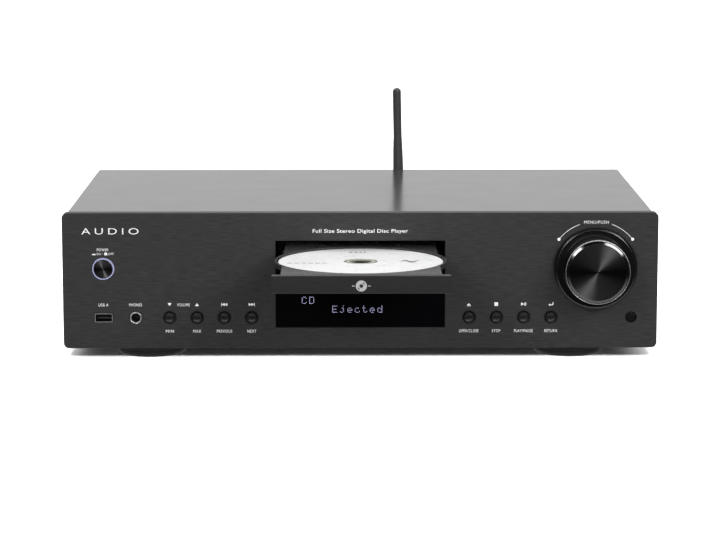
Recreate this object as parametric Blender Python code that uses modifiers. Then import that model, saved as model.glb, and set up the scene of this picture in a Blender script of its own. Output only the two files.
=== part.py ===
"""A full-width disc player with a motorised tray, modelled as separate pieces in Blender.

The player faces -Y. +X is to the right of someone looking at its front, and +Z is up.
Sizes are in millimetres and measured from the middle of the front panel's face, at the
height of the floor. The helpers turn them into metres, and the empty that everything
hangs from moves the whole player, so that the origin is under the middle of its box.
"""

from math import asin, atan2, cos, hypot, pi, radians, sin

import bmesh
import bpy
from mathutils import Matrix, Vector

MM = 0.001
GAP = 0.3  # between pieces that rest on each other

# Casing
PANEL_HALF_WIDTH = 222.5
PANEL_BOTTOM, PANEL_TOP = 12.0, 114.5
PANEL_BACK = 9.0
PANEL_CORNER = 4.0
SHEET = 1.2
CARRIER_FRONT = PANEL_BACK + GAP
CARRIER_BACK = CARRIER_FRONT + SHEET
COVER_HALF_WIDTH = 220.6
COVER_TOP = 113.0
PLATE_HALF_WIDTH = 218.6  # the front carrier and the rear panel, inside the cover
COVER_REAR = 272.0
BASE_BOTTOM = 14.0
BASE_FLOOR = BASE_BOTTOM + SHEET
REAR_PANEL_FRONT = 269.4
REAR_PANEL_BACK = REAR_PANEL_FRONT + SHEET
FOOT_RADIUS, FOOT_X = 27.0, 160.0
FOOT_YS = {"front": 52.0, "rear": 227.0}

# Central opening in the panel: the tray's slot above, the display's window below
OPENING_HALF_WIDTH = 63.3
OPENING_BOTTOM, OPENING_TOP = 27.6, 93.3
WINDOW_TOP = 75.4

# Controls on the panel
ROW_Z = 35.2  # the row of buttons and sockets
BUTTON_XS = [81.3 + 20.5 * place for place in range(4)]
BUTTONS = {
    "volume_down_button": -BUTTON_XS[3],
    "volume_up_button": -BUTTON_XS[2],
    "previous_button": -BUTTON_XS[1],
    "next_button": -BUTTON_XS[0],
    "open_close_button": BUTTON_XS[0],
    "stop_button": BUTTON_XS[1],
    "play_pause_button": BUTTON_XS[2],
    "return_button": BUTTON_XS[3],
}
BUTTON_RADIUS, BUTTON_HOLE = 4.1, 4.4
POWER_X, POWER_Z = -192.2, 72.1
POWER_RADIUS, POWER_HOLE = 7.0, 8.7
USB_X, HEADPHONE_X, IR_X = -192.2, -168.2, 202.9
KNOB_X, KNOB_Z = 175.7, 72.6
KNOB_RADIUS, KNOB_FACE, KNOB_DEPTH = 31.2, 22.3, 22.0
SHAFT_RADIUS, SHAFT_HOLE = 3.0, 4.8
BOARD_FRONT, BOARD_BACK = 15.5, 17.1

# Tray, drawn out as far as it goes
DISC_RADIUS, DISC_HOLE, DISC_THICKNESS = 60.0, 7.5, 1.2
DISC_Y = -59.8
TRAY_TOP, TRAY_UNDERSIDE = 88.8, 84.4
TRAY_HALF_WIDTH = 56.5
TRAY_FRONT, TRAY_REAR = -125.0, 50.0
RECESS_RADIUS, RECESS_FLOOR = 60.6, 86.0
EAR_RADIUS = 62.3
TRAVEL = 131.0
FASCIA_FRONT = -131.0
FASCIA_HALF_WIDTH, FASCIA_BOTTOM = 62.8, 76.0

# Loader
LOADER_FRONT, LOADER_REAR = 12.0, 196.0
LOADER_INSIDE, LOADER_OUTSIDE = 63.5, 65.5
LOADER_BASE, LOADER_WALL_TOP = 60.0, 91.1
SPINDLE_Y = DISC_Y + TRAVEL
GEAR_Y = 28.0
RACK_MODULE, GEAR_MODULE = 1.25, 1.0
PINION_TEETH, WHEEL_TEETH, SMALL_TEETH = 16, 24, 10
RACK_X = 38.0  # the rack's pitch line
WHEEL_X = RACK_X - PINION_TEETH * RACK_MODULE / 2
BELT_WHEEL_X = WHEEL_X - (WHEEL_TEETH + SMALL_TEETH) * GEAR_MODULE / 2
MOTOR_X = -20.0
BELT_Z, BELT_HEIGHT = 73.0, 1.2

# Traverse: carries the turntable and the pickup, level when it is up
PIVOT_Y, PIVOT_Z = 168.0, 70.0
TRAVERSE_RISE = 6.0  # how far the turntable comes up
TRAVERSE_ANGLE = asin(TRAVERSE_RISE / (PIVOT_Y - SPINDLE_Y))
TRAVERSE_TOP, TRAVERSE_BOTTOM = 71.0, 69.0
CAM_PIN_Y, CAM_PIN_Z, CAM_TRAVEL = 42.5, 74.0, 16.0
ROD_X, ROD_Z, ROD_RADIUS = 22.0, 76.0, 1.5
FEED_TEETH = 12
FEED_RACK_X, FEED_Y = 31.0, 112.0
FEED_X = FEED_RACK_X + FEED_TEETH * GEAR_MODULE / 2

# Back
AERIAL_X, AERIAL_Z = 34.6, 78.0
AERIAL_LEAN = radians(1.1)  # to the left
AERIAL_FOLD_Y, AERIAL_TOP = 287.5, 181.0
REAR_END = 292.0
SOCKET_Z = 44.0
INLET_X, INLET_Z = -175.0, 51.0

ORIGIN_Y = (FASCIA_FRONT + REAR_END) / 2

UP = Matrix()
FRONTWARD = Matrix.Rotation(pi / 2, 4, "X")  # turns local +Z to -Y
REARWARD = Matrix.Rotation(-pi / 2, 4, "X")  # turns local +Z to +Y
SIDEWAYS = Matrix.Rotation(pi / 2, 4, "Y")  # turns local +Z to +X


# ---------------------------------------------------------------- scene helpers


def clear_scene():
    for obj in list(bpy.data.objects):
        bpy.data.objects.remove(obj)


def new_collection(name):
    collection = bpy.data.collections.new(name)
    bpy.context.scene.collection.children.link(collection)
    return collection


def new_material(name, colour, roughness, metallic=0.0):
    material = bpy.data.materials.new(name)
    material.use_nodes = True
    shader = material.node_tree.nodes["Principled BSDF"]
    shader.inputs["Base Color"].default_value = (*colour, 1.0)
    shader.inputs["Roughness"].default_value = roughness
    shader.inputs["Metallic"].default_value = metallic
    return material


def metres(*lengths):
    return Vector(lengths) * MM


def add(name, data, location, turn=UP, material=None, parent=None):
    """Links an object at a place in millimetres, under the player's empty or another."""
    obj = bpy.data.objects.new(name, data)
    PARTS.objects.link(obj)
    obj.parent = parent or PLAYER
    obj.matrix_local = Matrix.Translation(metres(*location)) @ turn
    if material:
        obj.data.materials.append(material)
    return obj


def helper(obj):
    """Makes an object a cutter, or a shape that a Boolean adds, which isn't a part itself."""
    PARTS.objects.unlink(obj)
    HELPERS.objects.link(obj)
    obj.hide_render = True
    obj.display_type = "WIRE"
    return obj


def boolean(obj, operation, others):
    for other in others:
        modifier = obj.modifiers.new(f"{operation} {other.name}", "BOOLEAN")
        modifier.operation = operation
        modifier.object = helper(other)
    return obj


def cut(obj, *others):
    return boolean(obj, "DIFFERENCE", others)


def join(obj, *others):
    return boolean(obj, "UNION", others)


def mesh_from(build, name):
    """A mesh filled in by a function that takes a bmesh."""
    shape = bmesh.new()
    build(shape)
    mesh = bpy.data.meshes.new(name)
    shape.to_mesh(mesh)
    shape.free()
    return mesh


# ---------------------------------------------------------------- shape helpers


def box(name, low, high, material=None, parent=None, origin=(0, 0, 0)):
    """A block between two corners. Its origin is at the parent's unless another is given."""
    size = [b - a for a, b in zip(low, high)]
    middle = [(a + b) / 2 - c for a, b, c in zip(low, high, origin)]

    def build(shape):
        placed = Matrix.Translation(metres(*middle)) @ Matrix.Diagonal((*metres(*size), 1))
        bmesh.ops.create_cube(shape, size=1, matrix=placed)

    return add(name, mesh_from(build, name), origin, UP, material, parent)


def cylinder(name, radius, start, end, place, turn=UP, sides=24, material=None, parent=None):
    """A cylinder along the local +Z, from one height to another above its place."""

    def build(shape):
        bmesh.ops.create_cone(
            shape,
            cap_ends=True,
            segments=sides,
            radius1=radius * MM,
            radius2=radius * MM,
            depth=(end - start) * MM,
            matrix=Matrix.Translation(metres(0, 0, (start + end) / 2)),
        )

    return add(name, mesh_from(build, name), place, turn, material, parent)


def turned(name, profile, place, turn=UP, sides=24, material=None, parent=None, ring=False):
    """A profile of (radius, height) points, from the top down its outer side, turned about
    the local Z. A ring's profile closes on itself."""
    edges = [(i, i + 1) for i in range(len(profile) - 1)]
    if ring:
        edges.append((len(profile) - 1, 0))
    mesh = bpy.data.meshes.new(name)
    mesh.from_pydata([metres(radius, 0, height) for radius, height in profile], edges, [])
    obj = add(name, mesh, place, turn, material, parent)
    screw = obj.modifiers.new("Turn", "SCREW")
    screw.axis = "Z"
    screw.steps = screw.render_steps = sides
    screw.use_merge_vertices = True
    screw.merge_threshold = 0.00001
    return obj


def plate(name, loops, low, high, turn=UP, material=None, parent=None, place=(0, 0, 0)):
    """A flat outline with holes, between two heights along the local Z."""
    curve = bpy.data.curves.new(name, "CURVE")
    curve.dimensions = "2D"
    curve.fill_mode = "BOTH"
    curve.extrude = (high - low) / 2 * MM
    for loop in loops:
        spline = curve.splines.new("POLY")
        spline.points.add(len(loop) - 1)
        for point, (x, y) in zip(spline.points, loop):
            point.co = (x * MM, y * MM, 0, 1)
        spline.use_cyclic_u = True
    outline = bpy.data.objects.new(name + "_outline", curve)
    PARTS.objects.link(outline)
    bpy.context.view_layer.update()
    graph = bpy.context.evaluated_depsgraph_get()
    mesh = bpy.data.meshes.new_from_object(outline.evaluated_get(graph))
    bpy.data.objects.remove(outline)
    shape = bmesh.new()
    shape.from_mesh(mesh)
    bmesh.ops.remove_doubles(shape, verts=shape.verts, dist=0.000001)
    bmesh.ops.translate(shape, verts=shape.verts, vec=metres(0, 0, (low + high) / 2))
    bmesh.ops.recalc_face_normals(shape, faces=shape.faces)
    shape.to_mesh(mesh)
    shape.free()
    return add(name, mesh, place, turn, material, parent)


def front_plate(name, loops, front, back, material=None):
    """A plate parallel to the front panel, its outline given as (x, z)."""
    return plate(name, loops, -back, -front, FRONTWARD, material)


def bent_sheet(name, section, start, end, thickness, material=None, parent=None):
    """A folded sheet: an open (x, z) section drawn along Y, with the thickness about it."""

    def build(shape):
        points = [shape.verts.new(metres(x, start, z)) for x, z in section]
        folds = [shape.edges.new(pair) for pair in zip(points, points[1:])]
        drawn = bmesh.ops.extrude_edge_only(shape, edges=folds)["geom"]
        moved = [item for item in drawn if isinstance(item, bmesh.types.BMVert)]
        bmesh.ops.translate(shape, verts=moved, vec=metres(0, end - start, 0))

    obj = add(name, mesh_from(build, name), (0, 0, 0), UP, material, parent)
    solid = obj.modifiers.new("Thickness", "SOLIDIFY")
    solid.thickness = thickness * MM
    solid.offset = 0
    solid.use_even_offset = True
    return obj


def tube(name, points, radius, material=None, sides=2):
    """A round wire through smooth points, with closed ends."""
    curve = bpy.data.curves.new(name, "CURVE")
    curve.dimensions = "3D"
    curve.bevel_depth = radius * MM
    curve.bevel_resolution = sides
    curve.use_fill_caps = True
    spline = curve.splines.new("POLY")
    spline.points.add(len(points) - 1)
    for point, place in zip(spline.points, points):
        point.co = (*metres(*place), 1)
    return add(name, curve, (0, 0, 0), UP, material)


# ---------------------------------------------------------------- outlines


def circle(x, y, radius, sides=24):
    angles = [2 * pi * step / sides for step in range(sides)]
    return [(x + radius * cos(a), y + radius * sin(a)) for a in angles]


def rectangle(x0, y0, x1, y1):
    return [(x0, y0), (x1, y0), (x1, y1), (x0, y1)]


def rounded_rectangle(x0, y0, x1, y1, radius, steps=4):
    corners = [(x1, y1, 0), (x0, y1, 1), (x0, y0, 2), (x1, y0, 3)]
    points = []
    for x, y, quarter in corners:
        cx = x - radius if x == x1 else x + radius
        cy = y - radius if y == y1 else y + radius
        for step in range(steps + 1):
            angle = (quarter + step / steps) * pi / 2
            points.append((cx + radius * cos(angle), cy + radius * sin(angle)))
    return points


def stadium(a, b, radius_a, radius_b, steps=10):
    """The outline round two circles and the straight tangents between them."""
    along = atan2(b[1] - a[1], b[0] - a[0])
    spread = asin((radius_a - radius_b) / hypot(b[0] - a[0], b[1] - a[1]))
    points = []
    for centre, radius, start, sweep in (
        (b, radius_b, -pi / 2 + spread, pi - 2 * spread),
        (a, radius_a, pi / 2 - spread, pi + 2 * spread),
    ):
        for step in range(steps + 1):
            angle = along + start + sweep * step / steps
            points.append((centre[0] + radius * cos(angle), centre[1] + radius * sin(angle)))
    return points


TOOTH_ROOT, TOOTH_TIP = 0.27, 0.11  # half widths, as shares of the pitch
ADDENDUM, DEDENDUM = 0.8, 1.15


def gear_outline(teeth, module, phase=0.0):
    """Straight-flanked teeth with running clearance. Phase is in tooth pitches."""
    pitch_radius = teeth * module / 2
    root, tip = pitch_radius - DEDENDUM * module, pitch_radius + ADDENDUM * module
    points = []
    for tooth in range(teeth):
        for share, radius in (
            (-TOOTH_ROOT, root),
            (-TOOTH_TIP, tip),
            (TOOTH_TIP, tip),
            (TOOTH_ROOT, root),
        ):
            angle = (tooth + phase + share) * 2 * pi / teeth
            points.append((radius * cos(angle), radius * sin(angle)))
    return points


def rack_outline(x, back, y0, y1, meshing_y, module, facing):
    """A rack along Y. Its pitch line is at x, its teeth point to facing (-1 or 1) along X,
    and a gap between two teeth lies at meshing_y, where the gear has a tooth."""
    pitch = pi * module
    root, tip = x - facing * DEDENDUM * module, x + facing * ADDENDUM * module
    first = int((y0 - meshing_y) / pitch) + 1
    last = int((y1 - meshing_y) / pitch) - 1
    points = [(back, y0), (root, y0)]
    for tooth in range(first, last):
        middle = meshing_y + (tooth + 0.5) * pitch
        for share, reach in (
            (-TOOTH_ROOT, root),
            (-TOOTH_TIP, tip),
            (TOOTH_TIP, tip),
            (TOOTH_ROOT, root),
        ):
            points.append((reach, middle + share * pitch))
    return points + [(root, y1), (back, y1)]


# ---------------------------------------------------------------- casing


def make_front_panel():
    loops = [
        rounded_rectangle(
            -PANEL_HALF_WIDTH, PANEL_BOTTOM, PANEL_HALF_WIDTH, PANEL_TOP, PANEL_CORNER
        ),
        rectangle(-OPENING_HALF_WIDTH, OPENING_BOTTOM, OPENING_HALF_WIDTH, OPENING_TOP),
        rounded_rectangle(USB_X - 7.0, ROW_Z - 3.7, USB_X + 7.0, ROW_Z + 3.7, 0.6, 1),
        circle(HEADPHONE_X, ROW_Z, 4.9, 20),
        circle(IR_X, ROW_Z, 4.2, 14),
        circle(POWER_X, POWER_Z, POWER_HOLE, 24),
        circle(KNOB_X, KNOB_Z, SHAFT_HOLE, 14),
    ]
    loops += [circle(x, ROW_Z, BUTTON_HOLE, 14) for x in BUTTONS.values()]
    front_plate("front_panel", loops, 0, PANEL_BACK, BLACK_ALUMINIUM)


def make_front_carrier():
    """The steel plate behind the panel that the boards and the window are fixed to."""
    loops = [
        rectangle(-PLATE_HALF_WIDTH, BASE_FLOOR + 0.6, PLATE_HALF_WIDTH, COVER_TOP - SHEET - 0.6),
        rectangle(-64.5, 24, 64.5, 96),
        rectangle(USB_X - 9, ROW_Z - 6, HEADPHONE_X + 7, ROW_Z + 6),
        circle(POWER_X, POWER_Z, 9.2, 12),
        circle(KNOB_X, KNOB_Z, SHAFT_HOLE, 12),
        circle(IR_X, ROW_Z, 4.5, 8),
    ]
    loops += [circle(x, ROW_Z, 3.2, 8) for x in BUTTONS.values()]
    front_plate("front_carrier", loops, CARRIER_FRONT, CARRIER_BACK, ZINC_STEEL)


def make_top_cover():
    """A sheet folded over the top and down both sides."""
    half, top = COVER_HALF_WIDTH - SHEET / 2, COVER_TOP - SHEET / 2
    bend = 1.5
    turns = [step * pi / 8 for step in range(5)]
    right = [(half - bend + bend * cos(a), top - bend + bend * sin(a)) for a in turns]
    left = [(-x, z) for x, z in reversed(right)]
    section = [(half, BASE_BOTTOM + 0.8), *right, *left, (-half, BASE_BOTTOM + 0.8)]
    bent_sheet("top_cover", section, CARRIER_FRONT, COVER_REAR, SHEET, BLACK_PAINT)


def make_chassis_base():
    """A pan with two upturned sides, and pillars for the circuit boards."""
    half, floor = 218.2, BASE_BOTTOM + SHEET / 2
    section = [(-half, 44), (-half, floor), (half, floor), (half, 44)]
    base = bent_sheet("chassis_base", section, 11.0, 268.8, SHEET, ZINC_STEEL)
    corners = [(82, 126), (203, 126), (82, 250), (203, 250)]
    corners += [(-203, 168), (-107, 168), (-203, 246), (-107, 246)]
    pillars = [
        cylinder(f"pillar_{count}", 3, floor, 24.7, (x, y, 0), sides=10)
        for count, (x, y) in enumerate(corners)
    ]
    join(base, *pillars)


def make_rear_panel():
    loops = [
        rectangle(-PLATE_HALF_WIDTH, BASE_FLOOR + 0.6, PLATE_HALF_WIDTH, COVER_TOP - SHEET - 0.6),
        rectangle(INLET_X - 14, INLET_Z - 10.5, INLET_X + 14, INLET_Z + 10.5),
        rectangle(117.5, SOCKET_Z - 4.6, 126.5, SOCKET_Z + 4.6),
        circle(106, SOCKET_Z, 4.8, 12),
        circle(156, SOCKET_Z, 4.8, 12),
        circle(172, SOCKET_Z, 4.8, 12),
        circle(AERIAL_X, AERIAL_Z, 3.6, 12),
    ]
    for slot in range(10):
        x = -120 + 9 * slot
        loops.append(rectangle(x - 1.5, 68, x + 1.5, 92))
    front_plate("rear_panel", loops, REAR_PANEL_FRONT, REAR_PANEL_BACK, BLACK_PAINT)


def make_feet():
    top = BASE_BOTTOM - GAP
    profile = [(0, top), (24, top), (27, top - 1.5), (27, 3.2), (26.3, 1.4), (24.6, 0), (0, 0)]
    for row, y in FOOT_YS.items():
        for side, x in (("left", -FOOT_X), ("right", FOOT_X)):
            turned(f"foot_{row}_{side}", profile, (x, y, 0), sides=24, material=BLACK_RUBBER)


# ---------------------------------------------------------------- front controls


def make_buttons():
    """Eight caps with a stem behind each, on one shared mesh profile."""
    profile = [(0, 0.9), (3.5, 0.9), (BUTTON_RADIUS, 0.3), (BUTTON_RADIUS, -6)]
    profile += [(2.2, -6), (2.2, -10.9), (0, -10.9)]
    for name, x in BUTTONS.items():
        turned(name, profile, (x, 0, ROW_Z), FRONTWARD, 14, BLACK_PLASTIC)


def make_power_button():
    cap = [(0, -0.2), (6.6, 0.3), (POWER_RADIUS, 0), (POWER_RADIUS, -6)]
    cap += [(3, -6), (3, -11), (0, -11)]
    turned("power_button", cap, (POWER_X, 0, POWER_Z), FRONTWARD, 24, BLACK_ALUMINIUM)
    inner, outer = POWER_RADIUS + 0.35, POWER_HOLE - 0.3
    ring = [(inner, 0.4), (outer, 0.4), (outer, -6), (inner, -6)]
    turned(
        "power_light_ring", ring, (POWER_X, 0, POWER_Z), FRONTWARD, 24, LIT_PLASTIC, ring=True
    )


def make_menu_knob():
    """A flanged knob on the shaft of a push encoder."""
    place = (KNOB_X, 0, KNOB_Z)
    bore = SHAFT_RADIUS + GAP
    knob = [
        (0, KNOB_DEPTH),
        (KNOB_FACE, KNOB_DEPTH),
        (KNOB_FACE + 0.9, KNOB_DEPTH - 1.1),
        (KNOB_FACE + 0.9, 4.6),
        (KNOB_RADIUS - 2.0, 4.6),
        (KNOB_RADIUS - 0.3, 2.8),
        (KNOB_RADIUS, 0.8),
        (bore, 0.8),
        (bore, 17.3),
        (0, 17.3),
    ]
    turned("menu_knob", knob, place, FRONTWARD, 36, BLACK_ALUMINIUM)
    cylinder("encoder_shaft", SHAFT_RADIUS, -12.9, 17, place, FRONTWARD, 14, BRIGHT_STEEL)
    cylinder("encoder_plunger", SHAFT_RADIUS, -14.6, -13.2, place, FRONTWARD, 14, BLACK_PLASTIC)
    body = [(4.4, -1.5), (4.4, -10.9), (8.5, -10.9), (8.5, -15.2), (3.35, -15.2), (3.35, -1.5)]
    turned("encoder_body", body, place, FRONTWARD, 16, ZINC_STEEL, ring=True)


def make_display():
    half = OPENING_HALF_WIDTH - GAP
    box(
        "display_window",
        (-half, 0.8, OPENING_BOTTOM + GAP),
        (half, 3.8, WINDOW_TOP),
        SMOKED_ACRYLIC,
    )
    box("display_module", (-60, 4.4, 30), (60, 8.8, 73), BLACK_PLASTIC)
    cylinder(
        "ir_window", 3.8, -8.5, -0.4, (IR_X, 0, ROW_Z), FRONTWARD, 14, SMOKED_ACRYLIC
    )


def make_front_sockets():
    """A USB socket with its tongue, and a 6.35 mm headphone socket."""
    shell = box(
        "usb_socket", (USB_X - 6.7, -0.2, ROW_Z - 3.4), (USB_X + 6.7, 14.5, ROW_Z + 3.4), BRIGHT_STEEL
    )
    mouth = box("usb_mouth", (USB_X - 6.2, -1, ROW_Z - 2.6), (USB_X + 6.2, 13, ROW_Z + 2.6))
    tongue = box("usb_tongue", (USB_X - 5.5, 1.2, ROW_Z + 0.1), (USB_X + 5.5, 13.5, ROW_Z + 1.9))
    join(cut(shell, mouth), tongue)
    sleeve = [(4.5, 0.4), (4.5, -14.6), (0, -14.6), (0, -13.6), (3.2, -13.6), (3.2, 0.4)]
    turned(
        "headphone_socket", sleeve, (HEADPHONE_X, 0, ROW_Z), FRONTWARD, 20, BRIGHT_STEEL, ring=True
    )


def make_key_boards():
    """The boards behind the panel, with a switch under each button."""
    for side, sign in (("left", -1), ("right", 1)):
        xs = sorted((68 * sign, 212 * sign))
        board = box(
            f"{side}_key_board", (xs[0], BOARD_FRONT, 18), (xs[1], BOARD_BACK, 108), CIRCUIT_BOARD
        )
        switches = [
            box(f"{name}_switch", (x - 3, 12, ROW_Z - 3), (x + 3, BOARD_FRONT + 0.2, ROW_Z + 3))
            for name, x in BUTTONS.items()
            if x * sign > 0
        ]
        if sign < 0:
            low = (POWER_X - 5, 13.8, POWER_Z - 5)
            switches.append(box("power_latch", low, (POWER_X + 5, 15.8, POWER_Z + 5)))
        join(board, *switches)


# ---------------------------------------------------------------- tray and disc


def tray_outline():
    """The tray's plan: straight sides, with an ear round the disc's widest part."""
    meet = asin(TRAY_HALF_WIDTH / EAR_RADIUS)
    ear = [meet + (pi - 2 * meet) * step / 8 for step in range(9)]
    right = [(EAR_RADIUS * sin(a), DISC_Y - EAR_RADIUS * cos(a)) for a in ear]
    right = [(TRAY_HALF_WIDTH, TRAY_FRONT), *right, (TRAY_HALF_WIDTH, TRAY_REAR)]
    return right + [(-x, y) for x, y in reversed(right)]


def make_tray():
    tray = plate("tray", [tray_outline()], TRAY_UNDERSIDE, TRAY_TOP, material=BLACK_PLASTIC)
    slot = plate(
        "pickup_slot",
        [rounded_rectangle(-18, DISC_Y - 18, 18, -2, 17, 5)],
        TRAY_UNDERSIDE - 2,
        TRAY_TOP + 1,
    )
    recess = cylinder("disc_recess", RECESS_RADIUS, RECESS_FLOOR, 92, (0, DISC_Y, 0), sides=60)
    small = cylinder("small_disc_recess", 40.6, 85.4, 92, (0, DISC_Y, 0), sides=36)
    cut(tray, recess, small, slot)
    added = [box("tray_front_wall", (-TRAY_HALF_WIDTH, TRAY_FRONT, 79.4), (TRAY_HALF_WIDTH, -121, 87))]
    for side, sign in (("left", -1), ("right", 1)):
        xs = sorted((52.5 * sign, TRAY_HALF_WIDTH * sign))
        rail_end = (xs[1], TRAY_REAR, TRAY_UNDERSIDE + 1)
        added.append(box(f"tray_rail_{side}", (xs[0], TRAY_FRONT + 1, 79.4), rail_end))
    rack = rack_outline(RACK_X, 43, GEAR_Y - TRAVEL - 4, TRAY_REAR - 4, GEAR_Y, RACK_MODULE, -1)
    added.append(plate("tray_rack", [rack], 80.4, TRAY_UNDERSIDE + 1))
    join(tray, *added)
    box(
        "tray_front",
        (-FASCIA_HALF_WIDTH, FASCIA_FRONT, FASCIA_BOTTOM),
        (FASCIA_HALF_WIDTH, TRAY_FRONT - GAP, TRAY_TOP),
        BLACK_ALUMINIUM,
    )


def make_disc():
    bottom = RECESS_FLOOR + GAP
    top = bottom + DISC_THICKNESS
    section = [(DISC_HOLE, top), (DISC_RADIUS, top), (DISC_RADIUS, bottom), (DISC_HOLE, bottom)]
    turned("disc", section, (0, DISC_Y, 0), sides=60, material=WHITE_PRINT, ring=True)


# ---------------------------------------------------------------- loader


def make_loader_frame():
    """A moulded frame on four legs: it guides the tray and carries its gears."""
    base_outline = rectangle(-LOADER_OUTSIDE, LOADER_FRONT, LOADER_OUTSIDE, LOADER_REAR)
    bay = rectangle(-47, 46, 47, 180)
    motor_hole = circle(MOTOR_X, GEAR_Y, 10.4, 20)
    frame = plate(
        "loader_frame", [base_outline, bay, motor_hole], LOADER_BASE, 62, material=BLACK_PLASTIC
    )
    added = [
        box("loader_back", (-64, 194, 61), (64, LOADER_REAR, LOADER_WALL_TOP)),
        cylinder("wheel_shoulder", 3, 61, 75.6, (WHEEL_X, GEAR_Y, 0), sides=12),
        cylinder("wheel_pin", 1.5, 61, 83.4, (WHEEL_X, GEAR_Y, 0), sides=12),
        cylinder("belt_wheel_shoulder", 3, 61, 70.9, (BELT_WHEEL_X, GEAR_Y, 0), sides=12),
        cylinder("belt_wheel_pin", 1.5, 61, 78.6, (BELT_WHEEL_X, GEAR_Y, 0), sides=12),
    ]
    for side, sign in (("left", -1), ("right", 1)):

        def block(name, x0, y0, z0, x1, y1, z1):
            xs = sorted((x0 * sign, x1 * sign))
            return box(f"{name}_{side}", (xs[0], y0, z0), (xs[1], y1, z1))

        added += [
            block("wall", LOADER_INSIDE, LOADER_FRONT, 61, LOADER_OUTSIDE, LOADER_REAR, LOADER_WALL_TOP),
            block("ledge", 50, LOADER_FRONT, 77, 64, 190, 79.1),
            block("guide_rib", 57, LOADER_FRONT, 78, 58.5, 190, 83.9),
            block("front_leg", 59, 30, BASE_FLOOR + GAP, 64.5, 36, 61),
            block("rear_leg", 59, 183, BASE_FLOOR + GAP, 64.5, 189, 61),
        ]
        lug = block("pivot_lug", 45.4, 163, 60.5, 49, 173, 75)
        cut(lug, cylinder(f"pivot_hole_{side}", 2.4, -60, 60, (0, PIVOT_Y, PIVOT_Z), SIDEWAYS, 16))
        added.append(lug)
    join(frame, *added)


def make_tray_drive():
    """Motor, belt and two gear wheels that push the tray's rack."""
    motor = [(0, 75), (1, 75), (1, 65), (3, 65), (3, 63.5), (12, 63.5), (12, 62.3)]
    motor += [(10, 62.3), (10, 46), (0, 46)]
    turned("loading_motor", motor, (MOTOR_X, GEAR_Y, 0), sides=20, material=BRIGHT_STEEL)
    low, high = BELT_Z - 1.7, BELT_Z + 1.7

    def pulley(name, x, bore, groove, flange):
        section = [(bore, high), (flange, high), (flange, BELT_Z + 1), (groove, BELT_Z + 1)]
        section += [(groove, BELT_Z - 1), (flange, BELT_Z - 1), (flange, low), (bore, low)]
        return turned(name, section, (x, GEAR_Y, 0), sides=20, material=WHITE_PLASTIC, ring=True)

    pulley("motor_pulley", MOTOR_X, 1.3, 3.0, 5.0)
    belt_wheel = pulley("belt_pulley", BELT_WHEEL_X, 1.8, 10.6, 12.5)
    pinion = [gear_outline(SMALL_TEETH, GEAR_MODULE, 0.5), circle(0, 0, 1.8, 20)]
    place = (BELT_WHEEL_X, GEAR_Y, 0)
    join(belt_wheel, plate("belt_pinion", pinion, high - 0.5, 79, place=place))
    place = (WHEEL_X, GEAR_Y, 0)
    wheel = plate(
        "drive_gear",
        [gear_outline(WHEEL_TEETH, GEAR_MODULE), circle(0, 0, 1.8, 12)],
        76,
        78.6,
        material=WHITE_PLASTIC,
        place=place,
    )
    pinion = [gear_outline(PINION_TEETH, RACK_MODULE), circle(0, 0, 1.8, 12)]
    join(wheel, plate("drive_pinion", pinion, 78.4, 84, place=place))
    ends = (BELT_WHEEL_X, GEAR_Y), (MOTOR_X, GEAR_Y)
    loops = [stadium(*ends, 12.0, 4.4), stadium(*ends, 11.0, 3.4)]
    plate(
        "drive_belt", loops, BELT_Z - BELT_HEIGHT / 2, BELT_Z + BELT_HEIGHT / 2, material=BLACK_RUBBER
    )


def make_clamp():
    """The bridge over the tray, and the puck that holds the disc on the turntable."""
    bridge = [rectangle(-67, 40, 67, 92), circle(0, SPINDLE_Y, 10.4, 20)]
    plate("clamp_bridge", bridge, LOADER_WALL_TOP + GAP, 93, material=ZINC_STEEL)
    puck = [(0, 96), (11.5, 96), (13, 95), (13, 93.4), (9.6, 93.4), (9.6, 91)]
    puck += [(12, 91), (12, 90), (7.2, 90), (7.2, 92), (0, 92)]
    turned("clamp_puck", puck, (0, SPINDLE_Y, 0), sides=20, material=BLACK_PLASTIC)


# ---------------------------------------------------------------- traverse


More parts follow.
